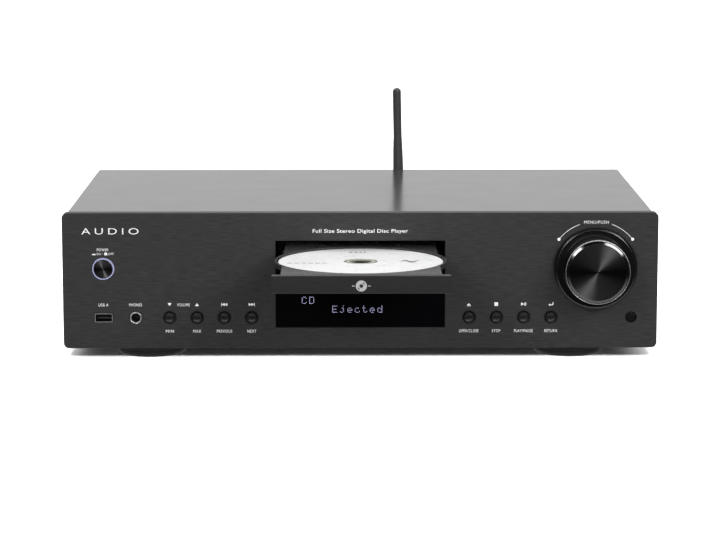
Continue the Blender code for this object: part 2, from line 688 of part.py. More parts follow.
def make_traverse():
    """The plate that swings up under the disc. Its pieces are drawn level, as they stand
    when it is up, and hang from an empty on its pivot, which is turned down by its travel."""
    pivot = bpy.data.objects.new("traverse_pivot", None)
    PARTS.objects.link(pivot)
    pivot.parent = PLAYER
    pivot.location = metres(0, PIVOT_Y, PIVOT_Z)
    pivot.rotation_euler.x = TRAVERSE_ANGLE

    def local(x, y, z):
        return (x, y - PIVOT_Y, z - PIVOT_Z)

    def block(name, low, high, material=None):
        return box(name, local(*low), local(*high), material, pivot)

    def flat(name, loops, low, high, material=None, place=(0, 0)):
        return plate(name, loops, low, high, UP, material, pivot, local(*place, 0))

    loops = [
        rectangle(-44, 48, 44, 172),
        rectangle(-17, 86, 17, 150),
        circle(0, SPINDLE_Y, 9, 20),
        circle(FEED_X, FEED_Y, 2, 10),
    ]
    traverse = flat("traverse", loops, TRAVERSE_BOTTOM, TRAVERSE_TOP, BLACK_PAINT)
    added = [
        block("cam_bracket", (-4, 48, 70), (4, 50, 76)),
        cylinder("cam_pin", 1.2, 0, 8, local(0, 48.6, CAM_PIN_Z), FRONTWARD, 12, None, pivot),
        cylinder("pivot_left", 2, -48.4, -43, local(0, PIVOT_Y, 70), SIDEWAYS, 16, None, pivot),
        cylinder("pivot_right", 2, 43, 48.4, local(0, PIVOT_Y, 70), SIDEWAYS, 16, None, pivot),
    ]
    for x in (-ROD_X, ROD_X):
        for end, y in (("front", 83), ("back", 149)):
            added.append(block(f"rod_post_{end}_{x:.0f}", (x - 3, y, 70), (x + 3, y + 4, 79)))
    join(traverse, *added)

    for side, x in (("left", -ROD_X), ("right", ROD_X)):
        place = local(x, 87.3, ROD_Z)
        cylinder(f"guide_rod_{side}", ROD_RADIUS, 0, 61.4, place, REARWARD, 12, BRIGHT_STEEL, pivot)

    spindle = local(0, SPINDLE_Y, 0)
    motor = [(0, 83), (1, 83), (1, 79), (12, 79), (12, 71.3), (0, 71.3)]
    turned("spindle_motor", motor, spindle, sides=20, material=BRIGHT_STEEL, parent=pivot)
    hub = [(0, 88.9), (5.4, 88.9), (6.9, 87), (6.9, 85.9), (14, 85.9), (14, 83.9)]
    hub += [(6.5, 83.9), (6.5, 79.6), (1.3, 79.6), (1.3, 83.4), (0, 83.4)]
    turned("turntable", hub, spindle, sides=20, material=BLACK_PLASTIC, parent=pivot)

    pickup = block("pickup", (-27, 88, 72.5), (27, 108, 79.5), BLACK_PLASTIC)
    for side, x in (("left", -ROD_X), ("right", ROD_X)):
        name = f"rod_bore_{side}"
        bore = cylinder(name, ROD_RADIUS + 0.4, -2, 24, local(x, 88, ROD_Z), REARWARD, 12, None, pivot)
        cut(pickup, bore)
    lens = cylinder("lens_turret", 5, 79, 83.5, local(0, SPINDLE_Y + 24, 0), UP, 20, None, pivot)
    rack = rack_outline(FEED_RACK_X, 26.5, 75, 116, FEED_Y, GEAR_MODULE, 1)
    join(pickup, lens, flat("feed_rack", [rack], 73, 75.8))

    gear = [gear_outline(FEED_TEETH, GEAR_MODULE, FEED_TEETH / 2), circle(0, 0, 1.2, 10)]
    flat("feed_gear", gear, 73, 76, WHITE_PLASTIC, (FEED_X, FEED_Y))
    motor = [(0, 75.6), (0.9, 75.6), (0.9, 68.7), (5.8, 68.7), (5.8, 58), (0, 58)]
    place = local(FEED_X, FEED_Y, 0)
    turned("feed_motor", motor, place, sides=20, material=BRIGHT_STEEL, parent=pivot)


def make_lift_slider():
    """A cam plate that slides across under the tray: its slanting slot lifts the traverse."""
    reach = Vector((CAM_PIN_Y - PIVOT_Y, CAM_PIN_Z - PIVOT_Z))
    down = Matrix.Rotation(TRAVERSE_ANGLE, 2) @ reach
    low_end = (0, PIVOT_Z + down.y)
    high_end = (-CAM_TRAVEL, CAM_PIN_Z)
    loops = [rectangle(-26, 62.4, 10, 79), stadium(low_end, high_end, 1.6, 1.6, 6)]
    front_plate("lift_slider", loops, 41.6, 43.4, WHITE_PLASTIC)


# ---------------------------------------------------------------- electronics


def make_boards():
    main = box("main_board", (75, 118, 25), (210, 253, 26.6), CIRCUIT_BOARD)
    chips = [((120, 150), (148, 178), 29), ((165, 140), (177, 152), 28.6), ((95, 200), (109, 208), 29)]
    chips += [((160, 200), (176, 214), 31), ((120, 215), (140, 225), 30)]
    join(
        main,
        *[
            box(f"chip_{count}", (x0, y0, 26), (x1, y1, top))
            for count, ((x0, y0), (x1, y1), top) in enumerate(chips)
        ],
    )
    supply = box("power_board", (-210, 160, 25), (-100, 249, 26.6), CIRCUIT_BOARD)
    capacitors = [
        cylinder(f"capacitor_{count}", 8, 26, 52, (x, 185, 0), sides=16)
        for count, x in enumerate((-150, -130))
    ]
    heat_sink = box("heat_sink", (-195, 200, 26), (-165, 206, 54))
    join(supply, *capacitors, heat_sink)


def make_transformer():
    """A ring transformer, flat on the pan."""
    low, high = BASE_FLOOR + 0.4, 50
    section = [(14, high), (36, high), (40, high - 4), (40, low + 4), (36, low), (14, low)]
    section += [(11, low + 3), (11, high - 3)]
    turned("transformer", section, (-150, 100, 0), sides=24, material=COPPER_TAPE, ring=True)


def make_ribbon_cable():
    """The flat cable from the pickup's mechanism down to the main board."""
    section = [(56, 57), (66, 57), (71, 54), (74, 46), (77, 35), (81, 30), (92, 28.2)]
    bent_sheet("ribbon_cable", section, 145, 161, 0.4, WHITE_PLASTIC)


def make_rear_sockets():
    """Sound outputs, digital outputs and the mains inlet."""

    def barrel(name, x):
        profile = [(1.7, 281), (4.2, 281), (4.2, 268), (0, 268), (0, 272), (1.7, 272)]
        return turned(name, profile, (x, 0, SOCKET_Z), REARWARD, 12, ring=True)

    audio = box("audio_output_block", (147, 256, 27), (181, 269.1, 56), BLACK_PLASTIC)
    join(audio, barrel("left_barrel", 156), barrel("right_barrel", 172))
    digital = box("digital_output_block", (99, 256, 27), (131, 269.1, 56), BLACK_PLASTIC)
    port = box("optical_port", (118, 268, SOCKET_Z - 4.2), (126, 274, SOCKET_Z + 4.2))
    door = box("optical_mouth", (119.5, 272.5, SOCKET_Z - 2.7), (124.5, 275, SOCKET_Z + 2.7))
    join(digital, barrel("coaxial_barrel", 106), cut(port, door))

    def around(name, half_width, half_height, y0, y1):
        low = (INLET_X - half_width, y0, INLET_Z - half_height)
        return box(name, low, (INLET_X + half_width, y1, INLET_Z + half_height))

    inlet = around("mains_inlet", 13.6, 10.1, 250, 271.5)
    inlet.data.materials.append(BLACK_PLASTIC)
    join(inlet, around("inlet_flange", 17, 13, REAR_PANEL_BACK + GAP, 273.4))
    cut(inlet, around("inlet_cavity", 12, 8, 254, 275))
    pins = []
    for count, (x, z) in enumerate(((-7, -2), (7, -2), (0, 3))):
        low = (INLET_X + x - 1, 253, INLET_Z + z - 2)
        pins.append(box(f"inlet_pin_{count}", low, (INLET_X + x + 1, 268.5, INLET_Z + z + 2)))
    join(inlet, *pins)


def make_aerial():
    """A rod aerial with a knuckle, screwed on a bulkhead socket, leaning a little."""
    place = (AERIAL_X, 0, AERIAL_Z)
    socket = [(0, 279), (3, 279), (3, 272.8), (5.5, 272.8), (5.5, 270.9), (3.2, 270.9)]
    socket += [(3.2, 269.1), (5, 269.1), (5, 266.5), (3, 266.5), (3, 262), (0, 262)]
    turned("aerial_socket", socket, place, REARWARD, 14, BRASS)

    lean = bpy.data.objects.new("aerial_lean", None)
    PARTS.objects.link(lean)
    lean.parent = PLAYER
    lean.location = metres(*place)
    lean.rotation_euler.y = -AERIAL_LEAN
    fold = (0, AERIAL_FOLD_Y, 0)
    nut = [(0, 282), (4.1, 282), (4.6, 281.5), (4.6, 273.4), (3.4, 273.4), (3.4, 279.6), (0, 279.6)]
    knuckle = turned("aerial_base", nut, (0, 0, 0), REARWARD, 16, BLACK_PLASTIC, lean)
    cheeks = []
    for side, sign in (("left", -1), ("right", 1)):
        xs = sorted((2.3 * sign, 4.3 * sign))
        cheeks += [
            cylinder(f"cheek_{side}", 4.4, *xs, fold, SIDEWAYS, 16, parent=lean),
            box(f"web_{side}", (xs[0], 281, -4), (xs[1], AERIAL_FOLD_Y, 4), parent=lean),
        ]
    join(knuckle, *cheeks)

    top = (AERIAL_TOP - AERIAL_Z) / cos(AERIAL_LEAN)
    cap = [(3.55 * sin(radians(a)), top - 3.55 + 3.55 * cos(radians(a))) for a in range(0, 91, 30)]
    rod = [*cap, (3.55, 62), (4.1, 50), (4.4, 35), (4.5, 8), (4.1, 5), (0, 5)]
    whip = turned("aerial_rod", rod, fold, sides=16, material=BLACK_PLASTIC, parent=lean)
    tongue = cylinder("aerial_tongue", 3.6, -1.9, 1.9, fold, SIDEWAYS, 16, parent=lean)
    low = (-1.9, AERIAL_FOLD_Y - 3.4, 0)
    neck = box("aerial_neck", low, (1.9, AERIAL_FOLD_Y + 3.4, 6), parent=lean)
    join(whip, tongue, neck)


# ---------------------------------------------------------------- the player

clear_scene()
PARTS = new_collection("disc player")
HELPERS = new_collection("cutters and joined shapes")
PLAYER = bpy.data.objects.new("player", None)
PARTS.objects.link(PLAYER)
PLAYER.location = metres(0, -ORIGIN_Y, 0)

BLACK_ALUMINIUM = new_material("black anodised aluminium", (0.035, 0.035, 0.037), 0.38, 0.7)
BLACK_PAINT = new_material("black painted steel", (0.05, 0.05, 0.052), 0.5)
ZINC_STEEL = new_material("zinc-plated steel", (0.55, 0.56, 0.57), 0.35, 1.0)
BRIGHT_STEEL = new_material("bright nickel steel", (0.75, 0.75, 0.76), 0.2, 1.0)
BRASS = new_material("gold-plated brass", (0.83, 0.62, 0.28), 0.25, 1.0)
COPPER_TAPE = new_material("yellow winding tape", (0.65, 0.5, 0.16), 0.5)
BLACK_PLASTIC = new_material("black moulded plastic", (0.03, 0.03, 0.032), 0.45)
WHITE_PLASTIC = new_material("white acetal", (0.8, 0.8, 0.78), 0.4)
LIT_PLASTIC = new_material("clear light guide", (0.7, 0.75, 0.95), 0.2)
SMOKED_ACRYLIC = new_material("black acrylic", (0.01, 0.01, 0.012), 0.08)
WHITE_PRINT = new_material("white printed disc", (0.85, 0.86, 0.86), 0.25)
BLACK_RUBBER = new_material("black rubber", (0.02, 0.02, 0.02), 0.8)
CIRCUIT_BOARD = new_material("green circuit board", (0.02, 0.16, 0.07), 0.4)

make_front_panel()
make_front_carrier()
make_top_cover()
make_chassis_base()
make_rear_panel()
make_feet()
make_buttons()
make_power_button()
make_menu_knob()
make_display()
make_front_sockets()
make_key_boards()
make_tray()
make_disc()
make_loader_frame()
make_tray_drive()
make_clamp()
make_traverse()
make_lift_slider()
make_boards()
make_transformer()
make_ribbon_cable()
make_rear_sockets()
make_aerial()
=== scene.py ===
"""The looks of a full-width disc player with its tray out, built round its CAD model.

Sizes are in millimetres. Places are measured as the CAD's are: from the middle of the front
panel's face, at the height of the floor, with +X to the right of someone looking at the
front, +Y into the player and +Z up. The helpers turn them into metres in the frame.
"""

from math import asin, cos, pi, radians, sin

import bmesh
import bpy
from mathutils import Euler, Matrix, Vector


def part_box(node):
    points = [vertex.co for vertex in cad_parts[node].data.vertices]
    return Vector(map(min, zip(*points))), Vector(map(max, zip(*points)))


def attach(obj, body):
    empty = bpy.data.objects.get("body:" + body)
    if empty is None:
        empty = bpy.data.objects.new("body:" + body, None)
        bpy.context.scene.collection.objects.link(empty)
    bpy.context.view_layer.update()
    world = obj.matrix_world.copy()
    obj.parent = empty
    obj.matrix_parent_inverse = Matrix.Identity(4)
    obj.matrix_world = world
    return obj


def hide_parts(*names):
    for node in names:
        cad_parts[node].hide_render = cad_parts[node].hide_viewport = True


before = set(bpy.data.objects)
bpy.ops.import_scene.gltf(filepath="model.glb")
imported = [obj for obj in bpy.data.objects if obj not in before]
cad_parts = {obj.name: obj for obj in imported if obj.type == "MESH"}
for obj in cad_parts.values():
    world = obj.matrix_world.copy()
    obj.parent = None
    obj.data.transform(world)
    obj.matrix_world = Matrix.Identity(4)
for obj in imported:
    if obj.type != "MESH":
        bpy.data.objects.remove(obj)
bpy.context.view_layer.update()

MM = 0.001
PRINT_RAISED = 0.05  # how far printing stands out
CREASE = 32  # edges sharper than this many degrees stay sharp
FACE_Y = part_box("front_panel")[0].y

UP = Matrix()
DOWN = Matrix.Rotation(pi, 4, "X")  # turns local +Z to -Z
FRONTWARD = Matrix.Rotation(pi / 2, 4, "X")  # turns local +Z to -Y and local +Y to +Z
REARWARD = Matrix.Rotation(pi, 4, "Z") @ FRONTWARD  # the same, seen from behind
REAR_AXIS = Matrix.Rotation(-pi / 2, 4, "X")  # turns local +Z to +Y and keeps local X
RIGHTWARD = Matrix.Rotation(pi / 2, 4, "Y")  # turns local +Z to +X
LEFTWARD = Matrix.Rotation(-pi / 2, 4, "Y")  # turns local +Z to -X


# ---- places from the frame


def at(x, y, z):
    """A place in the frame, in metres."""
    return Vector((x * MM, y * MM + FACE_Y, z * MM))


def box(node):
    """A CAD node's lowest and highest corners, in the player's millimetres."""
    shift = Vector((0, FACE_Y, 0))
    low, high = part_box(node)
    return (low - shift) / MM, (high - shift) / MM


def middle(node):
    low, high = box(node)
    return (low + high) / 2


# ---- mesh helpers


def mesh_of(shape):
    """Turns a bmesh into a mesh with its faces pointing out, and frees the bmesh."""
    bmesh.ops.recalc_face_normals(shape, faces=shape.faces)
    mesh = bpy.data.meshes.new("shape")
    shape.to_mesh(mesh)
    shape.free()
    return mesh


def evaluated_mesh(obj):
    """A new mesh of what an object shows with its modifiers."""
    bpy.context.view_layer.update()
    graph = bpy.context.evaluated_depsgraph_get()
    return bpy.data.meshes.new_from_object(obj.evaluated_get(graph))


def helper(data, name="helper"):
    """An object in the scene that holds the data."""
    obj = bpy.data.objects.new(name, data)
    bpy.context.scene.collection.objects.link(obj)
    return obj


def rounded(points, radius, steps=4, closed=False):
    """A chain of points with each corner turned into an arc. A third number in a point is
    its own radius."""
    count = len(points)
    result = []
    for i, point in enumerate(points):
        here = Vector(point[:2])
        wanted = point[2] if len(point) == 3 else radius
        if wanted == 0 or (not closed and i in (0, count - 1)):
            result.append(tuple(here))
            continue
        before = Vector(points[i - 1][:2]) - here
        after = Vector(points[(i + 1) % count][:2]) - here
        half_angle = before.angle(after) / 2
        reach = wanted / max(sin(half_angle) / cos(half_angle), 0.01)
        reach = min(reach, before.length * 0.49, after.length * 0.49)
        start = here + before.normalized() * reach
        end = here + after.normalized() * reach
        weight = sin(half_angle)
        for step in range(steps + 1):
            t = step / steps
            parts = ((1 - t) ** 2, 2 * t * (1 - t) * weight, t * t)
            place = (start * parts[0] + here * parts[1] + end * parts[2]) / sum(parts)
            result.append(tuple(place))
    return result


def lathe(profile, steps=96, ring=False):
    """A (radius, height) profile turned about the local Z. A ring's profile closes on itself."""
    shape = bmesh.new()
    points = [shape.verts.new((radius * MM, 0, height * MM)) for radius, height in profile]
    edges = [shape.edges.new(pair) for pair in zip(points, points[1:])]
    if ring:
        edges.append(shape.edges.new((points[-1], points[0])))
    bmesh.ops.spin(
        shape, geom=points + edges, axis=(0, 0, 1), angle=2 * pi, steps=steps, use_merge=True
    )
    bmesh.ops.remove_doubles(shape, verts=shape.verts, dist=1e-7)
    return mesh_of(shape)


def block(low, high, edge=0.3, segments=2):
    """A box between two corners, with rounded edges."""
    shape = bmesh.new()
    size = [(b - a) * MM for a, b in zip(low, high)]
    centre = [(a + b) / 2 * MM for a, b in zip(low, high)]
    placed = Matrix.Translation(centre) @ Matrix.Diagonal((*size, 1))
    bmesh.ops.create_cube(shape, size=1, matrix=placed)
    if edge:
        bmesh.ops.bevel(
            shape, geom=shape.edges, offset=edge * MM, segments=segments, profile=0.5, affect="EDGES"
        )
    return mesh_of(shape)


def slab(loops, low, high, edge=0.0, segments=2):
    """A flat outline with holes, between two heights along the local Z, its rims rounded."""
    curve = bpy.data.curves.new("slab", "CURVE")
    curve.dimensions = "2D"
    curve.fill_mode = "BOTH"
    curve.extrude = ((high - low) / 2 - edge) * MM
    curve.bevel_depth = edge * MM
    curve.bevel_resolution = segments
    curve.offset = -edge * MM
    for loop in loops:
        spline = curve.splines.new("POLY")
        spline.points.add(len(loop) - 1)
        for point, (x, y) in zip(spline.points, loop):
            point.co = (x * MM, y * MM, 0, 1)
        spline.use_cyclic_u = True
    obj = helper(curve)
    mesh = evaluated_mesh(obj)
    bpy.data.objects.remove(obj)
    shape = bmesh.new()
    shape.from_mesh(mesh)
    bmesh.ops.remove_doubles(shape, verts=shape.verts, dist=1e-6)
    bmesh.ops.translate(shape, verts=shape.verts, vec=(0, 0, (low + high) / 2 * MM))
    return mesh_of(shape)


def combined(*shapes):
    """One mesh from several, each alone or with the matrix that places it."""
    whole = bmesh.new()
    for shape in shapes:
        mesh, matrix = shape if isinstance(shape, tuple) else (shape, UP)
        copy = mesh.copy()
        copy.transform(matrix)
        whole.from_mesh(copy)
    mesh = bpy.data.meshes.new("combined")
    whole.to_mesh(mesh)
    whole.free()
    return mesh


def boolean(mesh, operation, *others):
    """The mesh with others cut out of it or joined to it."""
    obj = helper(mesh)
    tools = [helper(other) for other in others]
    for tool in tools:
        modifier = obj.modifiers.new(operation, "BOOLEAN")
        modifier.operation = operation
        modifier.object = tool
    result = evaluated_mesh(obj)
    for used in (obj, *tools):
        bpy.data.objects.remove(used)
    return result


def moved(x, y=0.0, z=0.0, turn=UP):
    """A matrix that places a shape, in millimetres."""
    return Matrix.Translation(Vector((x, y, z)) * MM) @ turn


def piece(name, mesh, material, body, replaces=(), place=(0, 0, 0), turn=UP):
    """A piece of the player that rides on a body and stands for a CAD node."""
    mesh.name = name
    obj = helper(mesh, name)
    obj.matrix_world = Matrix.Translation(at(*place)) @ turn
    mesh.materials.clear()
    mesh.materials.append(material)
    mesh.shade_smooth()
    mesh.set_sharp_from_angle(angle=radians(CREASE))
    shading = obj.modifiers.new("Shading", "WEIGHTED_NORMAL")
    shading.keep_sharp = True
    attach(obj, body)
    if replaces:
        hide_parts(*([replaces] if isinstance(replaces, str) else replaces))


def front_piece(name, mesh, material, body, replaces=(), centre=Vector(), y=0):
    """A piece drawn as seen from the front, about the origin or a control's middle."""
    piece(name, mesh, material, body, replaces, (centre.x, y, centre.z), FRONTWARD)


def moved_mesh(mesh, *place):
    mesh.transform(moved(*place))
    return mesh


# ---- outlines


def circle(x, y, radius, sides=48):
    angles = [2 * pi * step / sides for step in range(sides)]
    return [(x + radius * cos(a), y + radius * sin(a)) for a in angles]


def rectangle(x0, y0, x1, y1):
    return [(x0, y0), (x1, y0), (x1, y1), (x0, y1)]


def rounded_rectangle(x0, y0, x1, y1, radius, steps=6):
    return rounded(rectangle(x0, y0, x1, y1), radius, steps, closed=True)


def triangle(x, direction, half=1.45, rise=2.3):
    """A triangle that points up, down, left or right, its box centred at x, 0."""
    corners = {
        "up": [(-half, -rise / 2), (half, -rise / 2), (0, rise / 2)],
        "down": [(-half, rise / 2), (0, -rise / 2), (half, rise / 2)],
        "left": [(rise / 2, -half), (rise / 2, half), (-rise / 2, 0)],
        "right": [(-rise / 2, -half), (rise / 2, 0), (-rise / 2, half)],
    }[direction]
    return [(x + a, b) for a, b in corners]


def ring_sector(radius, width, start, end, steps=24):
    """A band round the origin between two angles in degrees."""
    angles = [radians(start + (end - start) * step / steps) for step in range(steps + 1)]
    outer = [((radius + width / 2) * cos(a), (radius + width / 2) * sin(a)) for a in angles]
    inner = [((radius - width / 2) * cos(a), (radius - width / 2) * sin(a)) for a in angles]
    return outer + inner[::-1]


# ---- materials


def node(tree, kind, **values):
    """Adds a node and sets its properties, and its inputs by their names."""
    made = tree.nodes.new(kind)
    for name, value in values.items():
        if hasattr(made, name):
            setattr(made, name, value)
        else:
            made.inputs[name.replace("_", " ")].default_value = value
    return made


def by_id(sockets):
    return {socket.identifier: socket for socket in sockets}


def scaled(colour, factor):
    return (*[min(channel * factor, 1.0) for channel in colour], 1.0)


def noise(tree, size, stretch=(1, 1, 1), detail=4.0):
    """Noise in the piece's own space, its size in millimetres, spread out to fill 0 to 1."""
    coordinates = node(tree, "ShaderNodeTexCoord")
    mapping = node(tree, "ShaderNodeMapping")
    mapping.inputs["Scale"].default_value = [1 / (size * MM * part) for part in stretch]
    texture = node(tree, "ShaderNodeTexNoise", Scale=1.0, Detail=detail, Roughness=0.6)
    spread = node(tree, "ShaderNodeMapRange", From_Min=0.3, From_Max=0.7)
    tree.links.new(coordinates.outputs["Object"], mapping.inputs["Vector"])
    tree.links.new(mapping.outputs["Vector"], texture.inputs["Vector"])
    tree.links.new(texture.outputs["Fac"], spread.inputs["Value"])
    return spread.outputs["Result"]


def between(tree, factor, low, high):
    """Two values or two colours, mixed by a factor."""
    if isinstance(low, tuple):
        mix = node(tree, "ShaderNodeMix", data_type="RGBA")
        socket = by_id(mix.inputs)
        socket["A_Color"].default_value, socket["B_Color"].default_value = low, high
        tree.links.new(factor, socket["Factor_Float"])
        return by_id(mix.outputs)["Result_Color"]
    mix = node(tree, "ShaderNodeMapRange", To_Min=low, To_Max=high)
    tree.links.new(factor, mix.inputs["Value"])
    return mix.outputs["Result"]


def finish(
    name, colour, roughness, metallic=0.0, tint=0.12, patch=12.0, stretch=(1, 1, 1), spread=0.05,
    bump=0.15, grain=0.35, **sockets
):
    """A procedural finish. Patches vary its colour and roughness, and a finer grain roughens
    its surface. The other values are set on the shader's own sockets."""
    material = bpy.data.materials.new(name)
    material.use_nodes = True
    tree = material.node_tree
    shader = tree.nodes["Principled BSDF"]
    shader.inputs["Metallic"].default_value = metallic
    for socket, value in sockets.items():
        shader.inputs[socket.replace("_", " ")].default_value = value
    patches = noise(tree, patch, stretch)
    shades = between(tree, patches, scaled(colour, 1 - tint), scaled(colour, 1 + tint))
    tree.links.new(shades, shader.inputs["Base Color"])
    rough = between(tree, noise(tree, patch * 0.6, stretch), roughness - spread, roughness + spread)
    tree.links.new(rough, shader.inputs["Roughness"])
    relief = node(tree, "ShaderNodeBump", Strength=bump, Distance=grain * 0.1 * MM)
    tree.links.new(noise(tree, grain, stretch, 2.0), relief.inputs["Height"])
    tree.links.new(relief.outputs["Normal"], shader.inputs["Normal"])
    return material


def brushed(name, colour, roughness, metallic, tint=0.25, **sockets):
    """Metal brushed along X: long fine streaks of colour, roughness and relief."""
    streaks = {"patch": 0.75, "stretch": (14, 1, 1), "spread": 0.04, "bump": 0.12, "grain": 0.4}
    return finish(name, colour, roughness, metallic, tint, **streaks, **sockets)


def cut(name, colour, roughness):
    """Metal that a tool has cut clean."""
    return finish(name, colour, roughness, 1.0, tint=0.05, spread=0.02, bump=0.0)


def board(name):
    """Solder mask with tracks under it."""
    return finish(name, (0.015, 0.13, 0.05), 0.35, tint=0.5, patch=1.6, stretch=(6, 1, 1), bump=0.3)


def spun(name, colour, roughness, metallic, anisotropy, **sockets):
    """Metal turned about its own Z, so that light spreads across the rings."""
    material = finish(name, colour, roughness, metallic, 0.05, 6.0, spread=0.02, bump=0.0, **sockets)
    tree = material.node_tree
    shader = tree.nodes["Principled BSDF"]
    shader.inputs["Anisotropic"].default_value = anisotropy
    shader.inputs["Anisotropic Rotation"].default_value = 0.25
    tangent = node(tree, "ShaderNodeTangent", direction_type="RADIAL", axis="Z")
    tree.links.new(tangent.outputs["Tangent"], shader.inputs["Tangent"])
    coordinates = node(tree, "ShaderNodeTexCoord")
    flat = node(tree, "ShaderNodeVectorMath", operation="MULTIPLY")
    flat.inputs[1].default_value = (1, 1, 0)
    radius = node(tree, "ShaderNodeVectorMath", operation="LENGTH")
    rings = node(tree, "ShaderNodeTexNoise", noise_dimensions="1D", Scale=2600.0, Detail=2.0)
    tree.links.new(coordinates.outputs["Object"], flat.inputs[0])
    tree.links.new(flat.outputs["Vector"], radius.inputs[0])
    tree.links.new(radius.outputs["Value"], rings.inputs["W"])
    shades = between(tree, rings.outputs["Fac"], scaled(colour, 0.7), scaled(colour, 1.3))
    tree.links.new(shades, shader.inputs["Base Color"])
    return material


def glowing(name, colour, strength):
    """A lit plastic, a little uneven."""
    material = finish(name, colour, 0.3, tint=0.06, patch=3.0)
    tree = material.node_tree
    shader = tree.nodes["Principled BSDF"]
    uneven = between(tree, noise(tree, 2.0), scaled(colour, 0.9), scaled(colour, 1.0))
    tree.links.new(uneven, shader.inputs["Emission Color"])
    shader.inputs["Emission Strength"].default_value = strength
    return material


def above(material, height, colour):
    """Colours what is above a height on a carried-over node, such as the parts on a board."""
    tree = material.node_tree
    shader = tree.nodes["Principled BSDF"]
    coordinates = node(tree, "ShaderNodeTexCoord")
    split = node(tree, "ShaderNodeSeparateXYZ")
    higher = node(tree, "ShaderNodeMath", operation="GREATER_THAN")
    higher.inputs[1].default_value = height * MM
    tree.links.new(coordinates.outputs["Object"], split.inputs["Vector"])
    tree.links.new(split.outputs["Z"], higher.inputs[0])
    mix = node(tree, "ShaderNodeMix", data_type="RGBA")
    socket = by_id(mix.inputs)
    tree.links.new(shader.inputs["Base Color"].links[0].from_socket, socket["A_Color"])
    socket["B_Color"].default_value = (*colour, 1)
    tree.links.new(higher.outputs["Value"], socket["Factor_Float"])
    tree.links.new(by_id(mix.outputs)["Result_Color"], shader.inputs["Base Color"])
    return material


PANEL_BLACK = brushed("brushed black aluminium", (0.054,) * 3, 0.5, 0.2, Specular_IOR_Level=0.15)
TRAY_FRONT_BLACK = brushed("tray front aluminium", (0.028, 0.028, 0.029), 0.45, 0.4, tint=0.18)
COVER_BLACK = finish(
    "black painted steel", (0.037, 0.037, 0.038), 0.2, tint=0.06, patch=60, spread=0.01, bump=0.1,
    grain=0.5, Specular_IOR_Level=0.5
)
BASE_BLACK = finish(
    "black coated steel", (0.015,) * 3, 0.7, tint=0.1, patch=40, bump=0.1, Specular_IOR_Level=0.2
)
KNOB_BLACK = finish(
    "gloss black anodising", (0.009, 0.009, 0.0095), 0.14, spread=0.03, bump=0.02, Specular_IOR_Level=0.35
)
KNOB_EDGE = cut("cut black edge", (0.14, 0.14, 0.142), 0.24)
KNOB_BEVEL = cut("cut black bevel", (0.17, 0.17, 0.172), 0.13)
KNOB_RIM = cut("cut black rim", (0.5, 0.5, 0.51), 0.34)
KNOB_SPUN = spun("spun black knob face", (0.1, 0.1, 0.102), 0.32, 1.0, 1.0)
POWER_SPUN = spun("spun black button face", (0.13, 0.13, 0.135), 0.3, 1.0, 1.0)
BUTTON_BLACK = finish("satin black button", (0.022, 0.022, 0.023), 0.25, 0.2, patch=3, bump=0.1)
TRAY_BLACK = finish("black moulded plastic", (0.034, 0.034, 0.035), 0.3, tint=0.1, patch=8, grain=0.25)
DARK_PLASTIC = finish("black plastic", (0.025, 0.025, 0.026), 0.45, patch=6, bump=0.3)
RED_PLASTIC = finish("red plastic", (0.5, 0.02, 0.02), 0.35, tint=0.1, patch=4)
WHITE_ACETAL = finish("white acetal", (0.78, 0.78, 0.75), 0.4, tint=0.05, patch=6)
AERIAL_BLACK = finish(
    "black aerial plastic", (0.055, 0.055, 0.056), 0.42, tint=0.08, patch=8, bump=0.2, grain=0.3,
    Specular_IOR_Level=0.45
)
RUBBER = finish("black rubber", (0.04,) * 3, 0.75, tint=0.2, patch=5, bump=0.5, grain=0.4)
WINDOW_BLACK = finish(
    "smoked acrylic", (0.003, 0.003, 0.004), 0.06, spread=0.02, bump=0.01, patch=30, Specular_IOR_Level=0.25
)
LENS_BLACK = finish(
    "dark filter", (0.006, 0.006, 0.0065), 0.45, spread=0.04, bump=0.01, Specular_IOR_Level=0.12
)
USB_STEEL = finish("usb shell steel", (0.3,) * 3, 0.4, 0.3, tint=0.06, bump=0.05)
SOCKET_NICKEL = finish("socket nickel", (0.85,) * 3, 0.38, 1.0, tint=0.05, spread=0.03, bump=0.0)
NICKEL = finish("bright nickel", (0.78,) * 3, 0.2, 1.0, tint=0.06, bump=0.05)
ZINC = finish("zinc-plated steel", (0.55, 0.56, 0.57), 0.36, 1.0, tint=0.14, patch=9, spread=0.08)
ZINC_BLACK = finish("blackened screw", (0.04, 0.04, 0.042), 0.35, 0.8, patch=3)
GOLD = finish("gold-plated brass", (0.83, 0.62, 0.28), 0.26, 1.0, tint=0.06, patch=5)
WINDING = finish("winding tape", (0.62, 0.45, 0.12), 0.45, tint=0.2, patch=3, stretch=(1, 1, 6), bump=0.3)
BOARD_GREEN = board("circuit board")
KEY_GREEN = board("key board")
# The white print's emission is a painted glow: it brightens the words and marks, though print gives no
# light of its own.
GLOWING_PRINT_WHITE = finish(
    "white print with painted glow", (0.86,) * 3, 0.5, tint=0.04, patch=2, Specular_IOR_Level=0.3, Emission_Strength=0.35
)
PRINT_GREY = finish("grey print", (0.62,) * 3, 0.5, tint=0.05, patch=2, Specular_IOR_Level=0.3)
DISC_WHITE = finish(
    "printed disc face", (0.9, 0.908, 0.903), 0.3, tint=0.015, patch=15, spread=0.04, bump=0.0
)
DISC_MARK = finish("faint disc print", (0.5, 0.51, 0.5), 0.3, tint=0.05, patch=2)
DISC_INK = finish("dark disc print", (0.09,) * 3, 0.3, tint=0.05, patch=2)
DISC_SILVER = spun("disc mirror", (0.8, 0.81, 0.83), 0.12, 1.0, 0.4)
DISC_CLEAR = finish("clear polycarbonate", (0.3, 0.3, 0.25), 0.12, tint=0.1, spread=0.02, bump=0.0)
DISC_RIDGE = finish("stacking ridge", (0.6, 0.6, 0.54), 0.2, tint=0.05, spread=0.02, bump=0.0)
RING_LIGHT = glowing("light ring", (0.5, 0.52, 0.78), 0.42)
